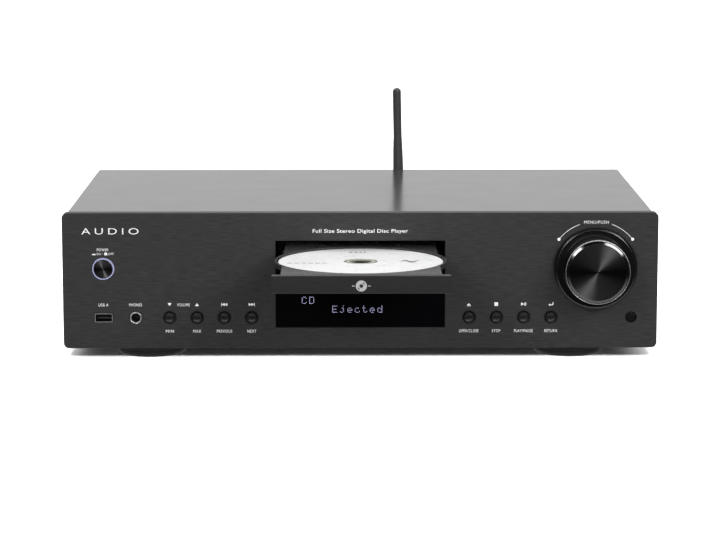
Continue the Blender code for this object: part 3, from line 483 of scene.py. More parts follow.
GLYPH_LIGHT = glowing("display dots", (0.66, 0.66, 1.0), 1.2)


# ---- casing

PANEL_CORNER = 4.0
PANEL_EDGE = 0.5
OPENING_HALF_WIDTH, OPENING_BOTTOM, OPENING_TOP = 63.3, 27.6, 93.3
RETURN_ARROW = [(-1.9, -0.6), (-0.5, -1.6), (-0.5, -0.9), (1.2, -0.9), (1.2, 1.4), (1.8, 1.4)]
RETURN_ARROW += [(1.8, -0.3), (-0.5, -0.3), (-0.5, 0.4)]
BUTTONS = {  # each button's word, the word's width, and its symbol about the button's middle
    "volume_down_button": ("MIN", 6.0, [triangle(0, "down")]),
    "volume_up_button": ("MAX", 6.0, [triangle(0, "up")]),
    "previous_button": (
        "PREVIOUS", 11.4,
        [rectangle(-2.3, -1.2, -1.85, 1.2)] + [triangle(x, "left", 1.2, 2.0) for x in (-0.75, 1.3)]
    ),
    "next_button": (
        "NEXT", 6.6,
        [rectangle(1.85, -1.2, 2.3, 1.2)] + [triangle(x, "right", 1.2, 2.0) for x in (0.75, -1.3)]
    ),
    "open_close_button": (
        "OPEN/CLOSE", 14.5, [triangle(0, "up", 1.35, 1.5), rectangle(-1.35, -1.5, 1.35, -1.05)]
    ),
    "stop_button": ("STOP", 6.2, [rectangle(-1.35, -1.35, 1.35, 1.35)]),
    "play_pause_button": (
        "PLAY/PAUSE", 14.0,
        [triangle(-0.75, "right", 1.2, 2.2)] + [rectangle(x, -1.2, x + 0.45, 1.2) for x in (0.55, 1.4)]
    ),
    "return_button": ("RETURN", 9.4, [RETURN_ARROW]),
}
ROW_Z = middle("stop_button").z
SOCKET_Z = 44.0  # the height of the audio and digital outputs
OPTICAL_X = middle("digital_output_block").x + 7
BARREL_XS = [middle("digital_output_block").x - 9]
BARREL_XS += [middle("audio_output_block").x + side * 8 for side in (-1, 1)]


def flared_hole(radius, mouth, depth, length=14):
    """A cutter for a round hole that widens to a mouth at the panel's face."""
    flare = [(0, 1), (mouth + 1, 1), (mouth, 0), (radius, -depth)]
    return lathe(flare + [(radius, -length), (0, -length)], 64)


def make_front_panel():
    """A thick plate with a hole for each control and an opening for the tray and display."""
    low, high = box("front_panel")
    usb = middle("usb_socket")
    loops = [
        rounded_rectangle(low.x, low.z, high.x, high.z, PANEL_CORNER, 10),
        rectangle(-OPENING_HALF_WIDTH, OPENING_BOTTOM, OPENING_HALF_WIDTH, OPENING_TOP),
        rounded_rectangle(usb.x - 7.0, usb.z - 3.7, usb.x + 7.0, usb.z + 3.7, 0.6, 3),
    ]
    panel = slab(loops, -high.y, 0, PANEL_EDGE, 3)
    # each hole's control, radius, radius at the face, and the flare's depth
    holes = [("power_button", 8.7, 9.1, 0.4), ("menu_knob", 4.8, 5.0, 0.3)]
    holes += [("headphone_socket", 4.9, 5.2, 0.3), ("ir_window", 4.2, 4.4, 0.3)]
    holes += [(name, 4.4, 5.5, 1.0) for name in BUTTONS]
    cutters = [
        (flared_hole(radius, mouth, depth), moved(middle(name).x, middle(name).z))
        for name, radius, mouth, depth in holes
    ]
    panel = boolean(panel, "DIFFERENCE", combined(*cutters))
    front_piece("front_panel", panel, PANEL_BLACK, "chassis", "front_panel")


def make_top_cover():
    """One sheet, folded down both sides."""
    low, high = box("top_cover")
    sheet, bend = 1.2, 2.1
    outer = [(low.x, low.z, 0), (low.x, high.z), (high.x, high.z), (high.x, low.z, 0)]
    inner = [(high.x - sheet, low.z, 0), (high.x - sheet, high.z - sheet)]
    inner += [(low.x + sheet, high.z - sheet), (low.x + sheet, low.z, 0)]
    outline = rounded(outer, bend, 8, closed=True) + rounded(inner, bend - sheet, 8, closed=True)
    cover = slab([outline], -high.y, -low.y, 0.25)
    front_piece("top_cover", cover, COVER_BLACK, "chassis", "top_cover")


def make_rear_panel():
    """A sheet with openings for the sockets and ten upright vent slots."""
    low, high = box("rear_panel")
    inlet, aerial = middle("mains_inlet"), middle("aerial_socket")
    loops = [
        rectangle(low.x, low.z, high.x, high.z),
        rounded_rectangle(inlet.x - 14, inlet.z - 10.5, inlet.x + 14, inlet.z + 10.5, 1),
        rectangle(OPTICAL_X - 4.5, SOCKET_Z - 4.6, OPTICAL_X + 4.5, SOCKET_Z + 4.6),
        circle(aerial.x, aerial.z, 3.6, 32),
    ]
    loops += [circle(x, SOCKET_Z, 4.8, 40) for x in BARREL_XS]
    vents, first, pitch, half, bottom, top = 10, -120, 9, 1.5, 68, 92
    for x in range(first, first + vents * pitch, pitch):
        loops.append(rounded_rectangle(x - half, bottom, x + half, top, half - 0.05, 5))
    panel = slab(loops, -high.y, -low.y, 0.15, 1)
    front_piece("rear_panel", panel, COVER_BLACK, "chassis", "rear_panel")


def make_feet():
    """Turned rubber feet with a groove round them and a hollow underneath."""
    for row in ("front", "rear"):
        for side in ("left", "right"):
            name = f"foot_{row}_{side}"
            top = box(name)[1].z
            profile = [(0, top), (24, top), (27, top - 1.5), (27, 5.2), (26.2, 4.6), (26.6, 4.0)]
            profile += [(26.6, 2.0), (25.2, 0), (19, 0), (18, 0.8), (8, 0.8), (7, 4.5), (0, 4.5)]
            place = (middle(name).x, middle(name).y, 0)
            piece(name, lathe(rounded(profile, 0.5)), RUBBER, "chassis", name, place)


# ---- screws


def cross_screw(radius, height):
    """A pan head with a cross recess, standing on its local Z = 0."""
    rim = height * 0.35
    head = lathe(rounded([(0, height), (radius * 0.7, height, 0.5), (radius, rim), (radius, 0)], 0.4), 32)
    arm, width = radius * 0.55, radius * 0.13
    slots = [block((-arm, -width, rim), (arm, width, height + 1), 0)]
    slots.append(block((-width, -arm, rim), (width, arm, height + 1), 0))
    return boolean(head, "DIFFERENCE", *slots)


def make_screws():
    """Heads on the cover's sides, the back and the base."""

    def screws(name, head, matrices, material, place):
        heads = [(head, matrix) for matrix in matrices]
        piece(name, combined(*heads), material, "chassis", place=place)

    large, small = cross_screw(2.9, 1.5), cross_screw(2.6, 1.4)
    low, high = box("top_cover")
    for side, x, turn in (("left", low.x, LEFTWARD), ("right", high.x, RIGHTWARD)):
        places = [moved(0, y, 30, turn) for y in (low.y + 60, high.y - 30)]
        screws(f"cover_screws_{side}", large, places, ZINC_BLACK, (x, 0, 0))
    round_panel = [(-205, 100), (0, 104), (205, 100), (-205, 24), (205, 24), (-60, 24), (70, 24)]
    by_sockets = [(145, 60), (184, 36)]
    places = [moved(x, 0, z, REARWARD) for x, z in round_panel + by_sockets]
    screws("rear_screws", small, places, ZINC_BLACK, (0, box("rear_panel")[1].y, 0))
    places = [moved(x, y, 0, DOWN) for x in (-203, -107, 82, 203) for y in (130, 248)]
    screws("base_screws", small, places, ZINC, (0, 0, box("chassis_base")[0].z))


# ---- front controls


def make_buttons():
    """Caps with a rounded shoulder and a shallow dish."""
    for name in BUTTONS:
        dish = [(0, 0.45), (1.6, 0.5), (2.7, 0.75), (3.2, 0.9, 0.3)]
        stem = [(4.0, 0.1, 0.5), (4.1, -6), (2.2, -6), (2.2, -10.9), (0, -10.9)]
        cap = lathe(rounded(dish + stem, 0.2), 48)
        front_piece(name, cap, BUTTON_BLACK, name, name, middle(name))


def make_power_button():
    """A cap with a spun, dished face, in a ring of light."""
    name = "power_button"
    centre = middle(name)
    body = [(0, -1.2), (6.65, -0.9), (6.75, 0.12, 0.1), (7.0, 0.0, 0.15), (7.0, -6)]
    body += [(3, -6), (3, -11), (0, -11)]
    face = [(0, -0.15), (4.0, -0.05), (6.75, 0.15), (6.75, -0.8), (0, -1.1)]
    section = [(7.4, -0.3, 0.1), (7.7, 0.1, 0.2), (7.95, -0.3, 0.1), (7.95, -4), (8.35, -4.5)]
    section += [(8.35, -6), (7.4, -6)]
    cap = lathe(rounded(body, 0.2), 64)
    front_piece(name, cap, KNOB_BLACK, name, name, centre)
    dish = lathe(rounded(face, 0.15), 64)
    front_piece("power_button_face", dish, POWER_SPUN, name, (), centre)
    ring = lathe(rounded(section, 0.1, closed=True), 64, ring=True)
    name = "power_light_ring"
    front_piece(name, ring, RING_LIGHT, "chassis", name, centre)


def make_menu_knob():
    """A gloss flange and body, a bevel and thin edges cut bright, and a spun face."""
    low, high = box("menu_knob")
    centre, radius = middle("menu_knob"), (high.x - low.x) / 2

    def part(name, mesh, material, replaces=()):
        front_piece(name, mesh, material, "menu_knob", replaces, centre)

    front = [(0, 20.9), (23.2, 20.6), (23.4, 21.3, 0.1), (23.95, 21.2, 0.2), (23.7, 5.2, 0.6)]
    flange = [(24.6, 4.5, 0.4), (radius - 1.2, 4.4, 0.4), (radius - 0.2, 3.6, 0.5), (radius, 0.8, 0.3)]
    bore = [(3.3, 0.8, 0), (3.3, 17.3, 0), (0, 17.3)]
    part("menu_knob", lathe(rounded(front + flange + bore, 0.3, 6), 160), KNOB_BLACK, "menu_knob")
    cuts = [
        ("bevel", KNOB_BEVEL, 4, [(21.2, 20.95), (21.2, 22.0, 0.05), (23.1, 21.0, 0.2), (23.1, 20.7)]),
        ("rim", KNOB_RIM, 6, [(23.3, 20.8), (23.45, 21.5, 0.2), (24.05, 21.35, 0.3), (24.1, 20.4)]),
        ("edge", KNOB_EDGE, 6, [(28.3, 4.2), (29.1, 4.8, 0.4), (30.1, 4.1, 0.2), (29.9, 3.9)]),
    ]
    for name, material, steps, section in cuts:
        ring = lathe(rounded(section, 0.03, steps, closed=True), 240, ring=True)
        part(f"menu_knob_{name}", ring, material)
    face = [(0, 21.8), (21.25, 21.95), (21.25, 21.0), (0, 21.0)]
    part("menu_knob_face", lathe(face, 160), KNOB_SPUN)


def make_usb_socket():
    """A folded steel shell with a rolled mouth, and a tongue with four contacts."""
    low, high = box("usb_socket")
    centre = middle("usb_socket")
    half_x, half_z = (high.x - low.x) / 2, (high.z - low.z) / 2

    def outline(inset, radius):
        x, z = half_x - inset, half_z - inset
        return rounded_rectangle(-x, -z, x, z, radius)

    outer, inner, liner = outline(0, 0.9), outline(0.6, 0.5), outline(0.72, 0.4)
    shell = combined(slab([outer, inner], -13.5, 0.2, 0.12), slab([inner], -13.6, -13.0))
    front_piece("usb_socket", shell, USB_STEEL, "chassis", "usb_socket", centre)
    # The black lining inside the shell is painted shade: it darkens the mouth where the shell's own steel
    # walls would lie in shade.
    painted_shade_lining = slab([inner, liner], -12.9, -0.35)
    front_piece("usb_lining", painted_shade_lining, LENS_BLACK, "chassis", (), centre)
    tongue = block((-5.5, 0.1, -13.5), (5.5, 1.9, -3.2), 0.2)
    front_piece("usb_tongue", tongue, LENS_BLACK, "chassis", (), centre)
    contacts = [
        block((x - 0.5, -0.02, -11), (x + 0.5, 0.14, -4.2), 0.04, 1) for x in (-3.5, -1.0, 1.0, 3.5)
    ]
    front_piece("usb_contacts", combined(*contacts), GOLD, "chassis", (), centre)


def make_headphone_socket():
    """A metal sleeve with a dark liner in its bore."""
    name = "headphone_socket"
    centre = middle(name)
    sleeve = [(4.5, 0.4, 0.6), (4.5, -14.6), (0, -14.6), (0, -13.6), (3.2, -13.6)]
    sleeve += [(3.2, -0.5, 0.3), (3.8, 0.4, 0.4)]
    mesh = lathe(rounded(sleeve, 0.1, 6, closed=True), 64, ring=True)
    front_piece(name, mesh, SOCKET_NICKEL, "chassis", name, centre)
    liner = [(0, -13.55), (3.19, -13.55), (3.19, -0.3), (3.0, -0.5), (2.95, -1.2), (2.95, -13.2)]
    mesh = lathe(liner + [(0, -13.2)], 48)
    front_piece("headphone_liner", mesh, DARK_PLASTIC, "chassis", (), centre)


def make_remote_window():
    """The dark filter over the remote control's sensor."""
    name = "ir_window"
    profile = [(0, -0.35), (2.4, -0.5), (3.8, -0.9, 0.2), (3.8, -8.5), (0, -8.5)]
    lens = lathe(rounded(profile, 0.8), 48)
    front_piece(name, lens, LENS_BLACK, "chassis", name, middle(name))


# ---- display

DOT_PITCH, DOT_SIZE, LETTER_PITCH = 0.79, 0.41, 5.62
LETTERS = {
    "C": (".###.", "#...#", "#....", "#....", "#....", "#...#", ".###."),
    "D": ("####.", "#...#", "#...#", "#...#", "#...#", "#...#", "####."),
    "E": ("#####", "#....", "#....", "####.", "#....", "#....", "#####"),
    "j": ("...#.", ".....", "..##.", "...#.", "...#.", "#..#.", ".##.."),
    "e": (".....", ".....", ".###.", "#...#", "#####", "#....", ".###."),
    "c": (".....", ".....", ".###.", "#....", "#....", "#...#", ".###."),
    "t": (".#...", ".#...", "###..", ".#...", ".#...", ".#..#", "..##."),
    "d": ("....#", "....#", ".##.#", "#..##", "#...#", "#...#", ".####"),
}
DISPLAY_WORDS = [("CD", -44.0, 45.5), ("Ejected", -21.1, 38.7)]  # words, left, bottom


def make_display():
    """A gloss window with the lit dots just in front of it."""
    name = "display_window"
    low, high = box(name)
    window = block((low.x, low.z, -high.y), (high.x, high.z, -low.y), 0.25)
    front_piece(name, window, WINDOW_BLACK, "chassis", name)
    half = DOT_SIZE / 2
    dots = []
    for word, left, bottom in DISPLAY_WORDS:
        for place, letter in enumerate(word):
            for row, line in enumerate(reversed(LETTERS[letter])):
                for column, mark in enumerate(line):
                    if mark == "#":
                        x = left + place * LETTER_PITCH + (column + 0.5) * DOT_PITCH
                        z = bottom + (row + 0.5) * DOT_PITCH
                        dots.append(rounded_rectangle(x - half, z - half, x + half, z + half, 0.2, 2))
    face = -low.y
    lit = slab(dots, face - 0.05, face + 0.04)
    front_piece("display_dots", lit, GLYPH_LIGHT, "chassis")


# ---- tray and disc

DISC_Y = middle("disc").y
DISC_BOTTOM, DISC_TOP = box("disc")[0].z, box("disc")[1].z
DISC_RADIUS, DISC_BORE = 60.0, 7.5
TRAY_LOW, TRAY_HIGH = box("tray")
TRAY_HALF = 56.5  # to the outside of the straight sides
TRAY_TRAVEL = 131.0
TRAY_FLOOR = DISC_BOTTOM - 0.3
GEAR_MODULE = 1.25


def tray_outline():
    """Straight sides, with an ear round the disc's widest part."""
    ear = TRAY_HIGH.x
    meet = asin(TRAY_HALF / ear)
    angles = [meet + (pi - 2 * meet) * step / 24 for step in range(25)]
    right = [(ear * sin(a), DISC_Y - ear * cos(a)) for a in angles]
    right = [(TRAY_HALF, TRAY_LOW.y), *right, (TRAY_HALF, TRAY_HIGH.y)]
    return right + [(-x, y) for x, y in reversed(right)]


def rack_outline():
    """The rack under the tray's right side, its teeth to the left."""
    pitch, line, back, gear_y = pi * GEAR_MODULE, 38.0, 43, middle("drive_gear").y
    root, tip = line + 1.15 * GEAR_MODULE, line - 0.8 * GEAR_MODULE
    start, end = gear_y - TRAY_TRAVEL - 4, TRAY_HIGH.y - 4
    first, last = int((start - gear_y) / pitch) + 1, int((end - gear_y) / pitch) - 1
    points = [(back, start), (root, start)]
    for tooth in range(first, last):
        centre = gear_y + (tooth + 0.5) * pitch
        for share, reach in ((-0.27, root), (-0.11, tip), (0.11, tip), (0.27, root)):
            points.append((reach, centre + share * pitch))
    return points + [(root, end), (back, end)]


def make_tray():
    """A plate with recesses for both sizes of disc, a slot for the drive, side walls, a
    front wall, a rack and two pegs."""
    top, underside = TRAY_HIGH.z, TRAY_HIGH.z - 4.0
    tray = slab([tray_outline()], underside, top, 0.35)
    large = [(0, top + 3), (61.6, top + 3), (61.2, top + 0.1), (60.6, top - 0.6)]
    large += [(60.6, TRAY_FLOOR, 0.3), (0, TRAY_FLOOR)]
    small = [(0, top), (44, top), (40.6, TRAY_FLOOR - 0.6, 0.4), (0, TRAY_FLOOR - 0.6)]
    recesses = [
        moved_mesh(lathe(rounded(profile, 0), steps), 0, DISC_Y)
        for profile, steps in ((large, 128), (small, 96))
    ]
    slot = rounded(rectangle(-18, DISC_Y - 18, 18, -2), 17, 12, closed=True)
    tray = boolean(tray, "DIFFERENCE", *recesses, slab([slot], underside - 2, top + 2))
    low = TRAY_LOW.z
    parts = [block((-TRAY_HALF, TRAY_LOW.y, low), (TRAY_HALF, -121, top - 1.4), 0.3)]
    for side in (-1, 1):
        near, far = sorted(((TRAY_HALF - 4) * side, TRAY_HALF * side))
        parts.append(block((near, TRAY_LOW.y + 1, low), (far, TRAY_HIGH.y, underside + 1), 0.3))
    peg = lathe(rounded([(0, 0.7), (1.2, 0.7), (1.2, -1), (0, -1)], 0.3), 24)
    pegs = [moved_mesh(peg.copy(), x, 8.5, top) for x in (-28.4, 28.4)]
    rack = slab([rack_outline()], low + 1, underside + 1)
    tray = boolean(tray, "UNION", *parts, rack, *pegs)
    piece("tray", tray, TRAY_BLACK, "tray", "tray")


def disc_sign():
    """A plain disc with its hole and a glint on each side, between two short bars."""
    size, centre = 3.9, 81.5
    loops = [circle(0, 0, size, 48), circle(0, 0, size * 0.34, 32)]
    loops += [ring_sector(size * 0.66, size * 0.16, start, start + 40, 8) for start in (25, 205)]
    loops += [rectangle(-6.5, -0.3, -4.6, 0.3), rectangle(4.6, -0.3, 6.5, 0.3)]
    return moved_mesh(mark(*loops), 0, centre)


def make_tray_front():
    """A facing plate with a small sign."""
    low, high = box("tray_front")
    front = block((low.x, low.z, -high.y), (high.x, high.z, -low.y), 0.8, 4)
    front_piece("tray_front", front, TRAY_FRONT_BLACK, "tray", "tray_front")
    front_piece("tray_front_sign", disc_sign(), PRINT_GREY, "tray", y=low.y)


def make_disc():
    """A mirror ring, a clear hub with its stacking ridge, and a printed face."""

    def turned(name, profile, radius, steps, material, replaces=()):
        mesh = lathe(rounded(profile, radius, closed=True), steps, ring=True)
        piece(name, mesh, material, "disc", replaces, (0, DISC_Y, 0))

    top, bottom = DISC_TOP, DISC_BOTTOM
    edge, mirror = DISC_RADIUS, 12.0
    ring = [(mirror, top - 0.06), (edge - 0.3, top - 0.06), (edge, top - 0.3), (edge, bottom + 0.2)]
    ring += [(edge - 0.2, bottom), (mirror, bottom)]
    turned("disc", ring, 0.15, 160, DISC_SILVER, "disc")
    hub = [(DISC_BORE, top - 0.2), (DISC_BORE + 0.2, top - 0.05), (mirror - 0.02, top - 0.05)]
    hub += [(mirror - 0.02, bottom), (DISC_BORE + 0.3, bottom), (DISC_BORE, bottom + 0.2)]
    turned("disc_hub", hub, 0.05, 96, DISC_CLEAR)
    ridge = [(8.3, top - 0.06), (8.5, top, 0.03), (10.4, top, 0.03), (10.6, top - 0.06)]
    turned("disc_ridge", ridge, 0.01, 96, DISC_RIDGE)
    face = [(12.2, top - 0.05), (12.2, top - 0.01), (12.3, top), (59.4, top), (59.5, top - 0.02)]
    turned("disc_label", face + [(59.5, top - 0.05)], 0, 160, DISC_WHITE)
    prints = [("disc_marks", disc_marks(), DISC_MARK), ("disc_flourish", disc_flourish(), DISC_INK)]
    for name, mesh, material in prints:
        piece(name, mesh, material, "disc", (), (0, DISC_Y, top))


def disc_marks():
    """Faint print on the disc, as rows of blocks."""
    shapes = []
    # each row's left, y, number of blocks, and their width and height
    rows = [(-8.5, 38, 2, 2.6, 7.5), (-0.5, 38, 2, 1.6, 7.5), (-53, -10, 6, 3.8, 4.2)]
    for left, y, count, width, height in rows:
        for step in range(count):
            x = left + step * (width + 1.2)
            outline = rounded_rectangle(x, y, x + width, y + height, 0.5, 3)
            shapes.append(slab([outline], -0.01, 0.02))
    return combined(*shapes)


def disc_flourish():
    """A curved stroke, thick in its middle."""
    steps = 24
    lower = [
        (28.5 + 14 * i / steps, 4.5 * sin(i * pi / 10) + i * 0.22 - 4.5) for i in range(steps + 1)
    ]
    upper = [(x, y + 0.8 + 4.6 * sin(pi * i / steps)) for i, (x, y) in enumerate(lower)]
    return slab([lower + upper[::-1]], -0.01, 0.02)


# ---- back


def make_rear_sockets():
    """Two plastic blocks, three gold barrels with coloured insulators, and an optical port."""
    panel_back = 268
    for name in ("audio_output_block", "digital_output_block"):
        low, high = box(name)
        body = block((low.x, low.z, -269.0), (high.x, high.z, -low.y), 0.4)
        front_piece(name, body, DARK_PLASTIC, "chassis", name)
    reach = box("audio_output_block")[1].y
    barrel = [(4.15, reach), (4.15, panel_back), (2.9, panel_back), (2.9, reach)]
    core = [(1.7, reach - 0.5), (2.88, reach - 0.5), (2.88, panel_back), (0, panel_back)]
    core += [(0, 272), (1.7, 272)]
    collar = [(4.2, 271.6), (6.4, 271.6), (6.4, 270.8), (4.2, 270.8)]
    colours = [("coaxial", WINDING), ("left", WHITE_ACETAL), ("right", RED_PLASTIC)]
    for (name, colour), x in zip(colours, BARREL_XS):
        for part, profile, radius, steps, material, slot in (
            ("barrel", barrel, 0.25, 48, GOLD, "gold_brass"),
            ("insulator", core, 0.1, 32, colour, "white_plastic"),
            ("collar", collar, 0.2, 48, colour, "white_plastic"),
        ):
            mesh = lathe(rounded(profile, radius, closed=True), steps, ring=True)
            piece(f"{name}_{part}", mesh, material, "chassis", (), (x, 0, SOCKET_Z), REAR_AXIS)
    frame_loops = [rectangle(-4, -4.2, 4, 4.2), rectangle(-2.7, -2.7, 2.7, 2.7)]
    port = combined(slab(frame_loops, 0, 6, 0.2), block((-2.6, -2.6, 3.2), (2.6, 2.6, 3.9), 0.15))
    place = (OPTICAL_X, panel_back, SOCKET_Z)
    piece("optical_port", port, DARK_PLASTIC, "chassis", (), place, REARWARD)


def make_aerial():
    """A knuckle that turns on the socket, and a rod that folds in it."""
    lean = radians(1.1)
    socket = middle("aerial_socket")
    fold_y = 287.5
    tip = 3.55  # the radius of the rod's top

    def part(name, mesh, material, body, slot, replaces=()):
        place = (socket.x, 0, socket.z)
        piece(name, mesh, material, body, replaces, place, Matrix.Rotation(-lean, 4, "Y"))

    def crosswise(profile, radius, steps):
        mesh = lathe(rounded(profile, radius), steps)
        return moved_mesh(mesh, 0, fold_y, 0, RIGHTWARD)

    nut = [(0, 282), (4.1, 282), (4.6, 281.3), (4.6, 274.4), (4.2, 273.4), (3.4, 273.4)]
    nut += [(3.4, 279.6), (0, 279.6)]
    knuckle = []
    for side in (-1, 1):
        near, far = sorted((2.3 * side, 4.3 * side))
        knuckle.append(crosswise([(0, far), (4.4, far), (4.4, near), (0, near)], 0.4, 40))
        knuckle.append(block((near, 281, -4), (far, fold_y, 4), 0.3))
    base = lathe(rounded(nut, 0.25), 48)
    base.transform(REAR_AXIS)
    base = boolean(base, "UNION", *knuckle)
    part("aerial_base", base, AERIAL_BLACK, "aerial_base", "black_plastic", "aerial_base")
    pin = crosswise([(0, 4.6), (1.6, 4.6), (1.6, -4.6), (0, -4.6)], 0.3, 32)
    part("aerial_pin", pin, NICKEL, "aerial_base", "bright_steel")

    top = (box("aerial_rod")[1].z - socket.z) / cos(lean)
    dome = [radians(step) for step in range(0, 91, 10)]
    rod = [(tip * sin(a), top - tip + tip * cos(a), 0) for a in dome]
    rod += [(tip, 62, 6), (4.1, 50, 8), (4.4, 35, 8), (4.5, 8), (4.1, 5), (0, 5)]
    whip = moved_mesh(lathe(rounded(rod, 0.8, 8), 48), 0, fold_y)
    tongue = crosswise([(0, 1.9), (3.6, 1.9), (3.6, -1.9), (0, -1.9)], 0.3, 40)
    neck = block((-1.9, fold_y - 3.4, 0), (1.9, fold_y + 3.4, 6), 0.2)
    whip = boolean(whip, "UNION", tongue, neck)
    part("aerial_rod", whip, AERIAL_BLACK, "aerial_rod", "black_plastic", "aerial_rod")


# ---- printing


def lettering(words, width, height, weight=0.0, spacing=1.0):
    """Thin raised capitals or words, stretched to a width and height about the origin."""
    text = bpy.data.curves.new("text", "FONT")
    text.body = words
    text.resolution_u = 4
    text.extrude = 0.5
    text.offset = weight
    text.space_character = spacing
    obj = helper(text)
    mesh = evaluated_mesh(obj)
    bpy.data.objects.remove(obj)
    xs = [vertex.co.x for vertex in mesh.vertices]
    ys = [vertex.co.y for vertex in mesh.vertices]
    centre = Vector(((min(xs) + max(xs)) / 2, (min(ys) + max(ys)) / 2, -0.5))
    size = (width * MM / (max(xs) - min(xs)), height * MM / (max(ys) - min(ys)), PRINT_RAISED * MM)
    mesh.transform(Matrix.Diagonal((*size, 1)) @ Matrix.Translation(-centre))
    return mesh


def mark(*loops):
    return slab(loops, 0, PRINT_RAISED)


def make_front_print():
    """All the white words and marks on the front panel."""
    white = []

    def write(words, x, z, width, height, weight=0.0, spacing=1.15):
        white.append((lettering(words, width, height, weight, spacing), moved(x, z)))

    def symbol(x, z, *loops):
        white.append((mark(*loops), moved(x, z)))

    letters, symbols, upper, lower = 2.2, ROW_Z + 10.1, ROW_Z + 9.9, ROW_Z - 10.2
    for name, (word, width, loops) in BUTTONS.items():
        x = middle(name).x
        for loop in loops:
            symbol(x, symbols, loop)
        write(word, x, lower, width, letters)
    write("VOLUME", -132.4, upper, 9.6, letters)
    write("USB A", middle("usb_socket").x, upper, 7.4, letters)
    write("PHONES", middle("headphone_socket").x, upper, 9.6, letters)

    power = middle("power_button")
    states, letters = power.z + 11.6, 1.7
    write("POWER", power.x, power.z + 14.7, 8.6, 2.1)
    write("ON /", power.x - 2.4, states, 4.4, letters)
    write("OFF", power.x + 6.2, states, 4.0, letters)
    symbol(power.x - 6.6, states - 0.4, rectangle(-1.3, -0.45, 1.3, 0.45))
    symbol(power.x + 2.3, states, rectangle(-1.1, -1.0, 1.1, 1.0))

    knob, sweep = middle("menu_knob"), 35
    write("MENU/PUSH", knob.x + 0.3, knob.z + 34.6, 18.3, 2.3)
    for start, end, dot in ((110, 140.5, 141.75), (70, 39.5, 38.25)):
        symbol(knob.x, knob.z, ring_sector(sweep, 0.36, start, end))
        a = radians(dot)
        symbol(knob.x + sweep * cos(a), knob.z + sweep * sin(a), circle(0, 0, 1.15, 20))

    write("AUDIO", -186.5, 100.8, 42.6, 4.7, -0.004, 1.5)
    write("Full Size Stereo Digital Disc Player", 0, 100.4, 71.0, 3.6, 0.006, 1.05)
    front_piece("front_print", combined(*white), GLOWING_PRINT_WHITE, "chassis")


def make_rear_print():
    """The words over the sockets."""
    # each word, its x, z and width
    digital, audio = middle("digital_output_block").x, middle("audio_output_block").x
    words = [("COAXIAL", BARREL_XS[0], 55, 12), ("OPTICAL", OPTICAL_X, 55, 11)]
    words += [("L", BARREL_XS[1], 54, 1.8), ("R", BARREL_XS[2], 54, 2.0)]
    words += [("DIGITAL OUT", digital, 61, 24), ("AUDIO OUT", audio, 61, 24)]
    words += [("ANTENNA", middle("aerial_socket").x, 64, 15), ("AC IN", middle("mains_inlet").x, 70, 11)]
    shapes = [(lettering(text, width, 2.4, 0.01), moved(-x, z)) for text, x, z, width in words]
    place = (0, box("rear_panel")[1].y, 0)
    piece("rear_print", combined(*shapes), GLOWING_PRINT_WHITE, "chassis", (), place, REARWARD)


# ---- carried-over nodes


def dress_frame():
    """Finishes for the CAD nodes that stay: the mechanism, boards and brackets inside."""
    board_top, part_black = 26.65, (0.02, 0.02, 0.022)
    boards = above(BOARD_GREEN, board_top, part_black)
    groups = [
        (ZINC, ["front_carrier", "clamp_bridge", "encoder_body"]),
        (BASE_BLACK, ["chassis_base"]),
        (COVER_BLACK, ["traverse"]),
        (NICKEL, ["loading_motor", "spindle_motor", "feed_motor"]),
        (NICKEL, ["guide_rod_left", "guide_rod_right", "encoder_shaft"]),
        (GOLD, ["aerial_socket"]),
        (WINDING, ["transformer"]),
        (boards, ["main_board", "power_board"]),
        (KEY_GREEN, ["left_key_board", "right_key_board"]),
        (WHITE_ACETAL, ["drive_gear", "belt_pulley", "motor_pulley", "feed_gear"]),
        (WHITE_ACETAL, ["lift_slider", "ribbon_cable"]),
        (RUBBER, ["drive_belt"]),
    ]
    finishes = {name: material for material, names in groups for name in names}
    for name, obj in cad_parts.items():
        obj.data.materials.clear()
        obj.data.materials.append(finishes.get(name, DARK_PLASTIC))


# ---- stage


def make_stage():
    """A large pale floor, which neither lights the player nor shows in it."""
    floor = bpy.data.meshes.new("floor")
    half = 12.0
    corners = [(x, y, 0) for x, y in rectangle(-half, -half, half, half)]
    floor.from_pydata(corners, [], [(0, 1, 2, 3)])
    obj = helper(floor, "floor")
    floor.materials.append(finish("pale floor", (0.86,) * 3, 0.9, tint=0.01, patch=400, bump=0.0))
    obj.visible_glossy = False
    obj.visible_diffuse = False
    return obj


SOFTBOXES = [  # name, place, what it points at, width, height, watts
    ("overhead", (0, 0.45, 1.7), (0, 0.2, 0), 2.2, 1.2, 24),
    ("left_softbox", (-0.75, -1.2, 0.9), (-0.1, 0, 0.08), 0.45, 0.5, 6),
    ("right_softbox", (1.1, -1.1, 0.95), (0.17, 0, 0.08), 0.9, 0.7, 12),
    ("front_key", (1.15, -2.5, 1.1), (0.1, 0, 0.05), 1.0, 1.0, 8),
    ("front_left", (-0.95, -2.5, 1.1), (-0.1, 0, 0.05), 0.6, 1.0, 4),
    ("front_fill", (0, -3.0, 0.6), (0, 0, 0.05), 2.5, 0.7, 10),
]


def aim(obj, direction):
    obj.rotation_euler = Vector(direction).to_track_quat("-Z", "Y").to_euler()


def make_lights(floor):
    """Softboxes round the player, and a wash from the front that lights the floor only."""
    for name, place, target, width, height, watts in SOFTBOXES:
        light = bpy.data.lights.new(name, "AREA")
        light.shape = "RECTANGLE"
        light.size, light.size_y = width, height
        light.energy = watts
        obj = helper(light, name)
        obj.location = place
        aim(obj, Vector(target) - Vector(place))
    wash = bpy.data.lights.new("floor_wash", "SUN")
    wash.energy = 12.5
    wash.angle = radians(7)
    obj = helper(wash, "floor_wash")
    aim(obj, (0, 1.0, -0.4))
    only = bpy.data.collections.new("washed floor")
    only.objects.link(floor)
    obj.light_linking.receiver_collection = only
    obj.visible_glossy = False


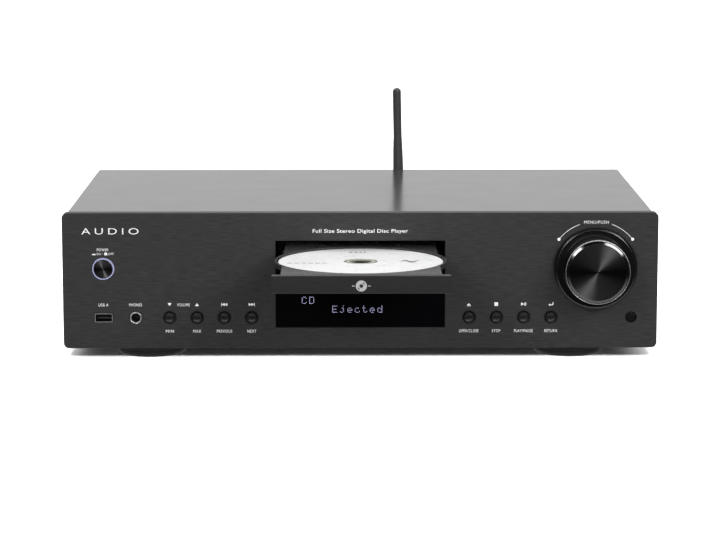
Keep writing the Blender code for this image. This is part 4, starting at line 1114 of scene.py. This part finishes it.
def flag_off(light, pieces):
    """Keep a light off some pieces, as a flag in front of a studio lamp does."""
    flagged = bpy.data.collections.new("flagged off " + light)
    for name in pieces:
        flagged.objects.link(bpy.data.objects[name])
    for entry in flagged.collection_objects:
        entry.light_linking.link_state = "EXCLUDE"
    bpy.data.objects[light].light_linking.receiver_collection = flagged


def make_world():
    """White behind the player for the camera. What lights it is bright behind it and below,
    as a white table and wall are, and dim in front."""
    world = bpy.data.worlds.new("studio")
    bpy.context.scene.world = world
    world.use_nodes = True
    tree = world.node_tree
    background = tree.nodes["Background"]
    background.inputs["Color"].default_value = (1, 1, 1, 1)
    coordinates = node(tree, "ShaderNodeTexCoord")
    split = node(tree, "ShaderNodeSeparateXYZ")
    tree.links.new(coordinates.outputs["Generated"], split.inputs["Vector"])
    behind = node(tree, "ShaderNodeMapRange", From_Min=-0.1, From_Max=0.6, To_Min=0.02, To_Max=0.9)
    tree.links.new(split.outputs["Y"], behind.inputs["Value"])
    below = node(tree, "ShaderNodeMapRange", From_Min=-0.25, From_Max=-0.6, To_Min=0.0, To_Max=0.6)
    tree.links.new(split.outputs["Z"], below.inputs["Value"])
    either = node(tree, "ShaderNodeMath", operation="MAXIMUM")
    tree.links.new(behind.outputs["Result"], either.inputs[0])
    tree.links.new(below.outputs["Result"], either.inputs[1])
    path = node(tree, "ShaderNodeLightPath")
    choose = node(tree, "ShaderNodeMix", data_type="FLOAT")
    socket = by_id(choose.inputs)
    tree.links.new(path.outputs["Is Camera Ray"], socket["Factor_Float"])
    tree.links.new(either.outputs["Value"], socket["A_Float"])
    socket["B_Float"].default_value = 1.05
    tree.links.new(choose.outputs[0], background.inputs["Strength"])


def make_camera():
    """The view fitted to the edges of the panel and the cover in the photograph."""
    camera = bpy.data.cameras.new("camera")
    camera.lens = 130.19
    camera.shift_x = 0.00016
    camera.sensor_width = 36
    camera.clip_end = 50
    obj = helper(camera, "camera")
    obj.location = (-0.01049, -2.00018, 0.38624)
    obj.rotation_euler = Euler((pi / 2 - 0.1626, 0.0006, -0.0054))
    bpy.context.scene.camera = obj


make_camera()
make_world()
make_lights(make_stage())
bpy.context.scene.view_settings.view_transform = "Standard"

dress_frame()
make_front_panel()
make_top_cover()
make_rear_panel()
make_feet()
make_screws()
make_buttons()
make_power_button()
make_menu_knob()
make_usb_socket()
make_headphone_socket()
make_remote_window()
make_display()
make_tray()
make_tray_front()
make_disc()
make_rear_sockets()
make_aerial()
make_front_print()
make_rear_print()

for light in ("overhead", "front_fill"):
    flag_off(light, ["menu_knob_face", "power_button_face"])
for light in ("left_softbox", "front_left"):
    flag_off(light, ["menu_knob_face"])
for light in ("right_softbox", "front_key"):
    flag_off(light, ["power_button_face"])
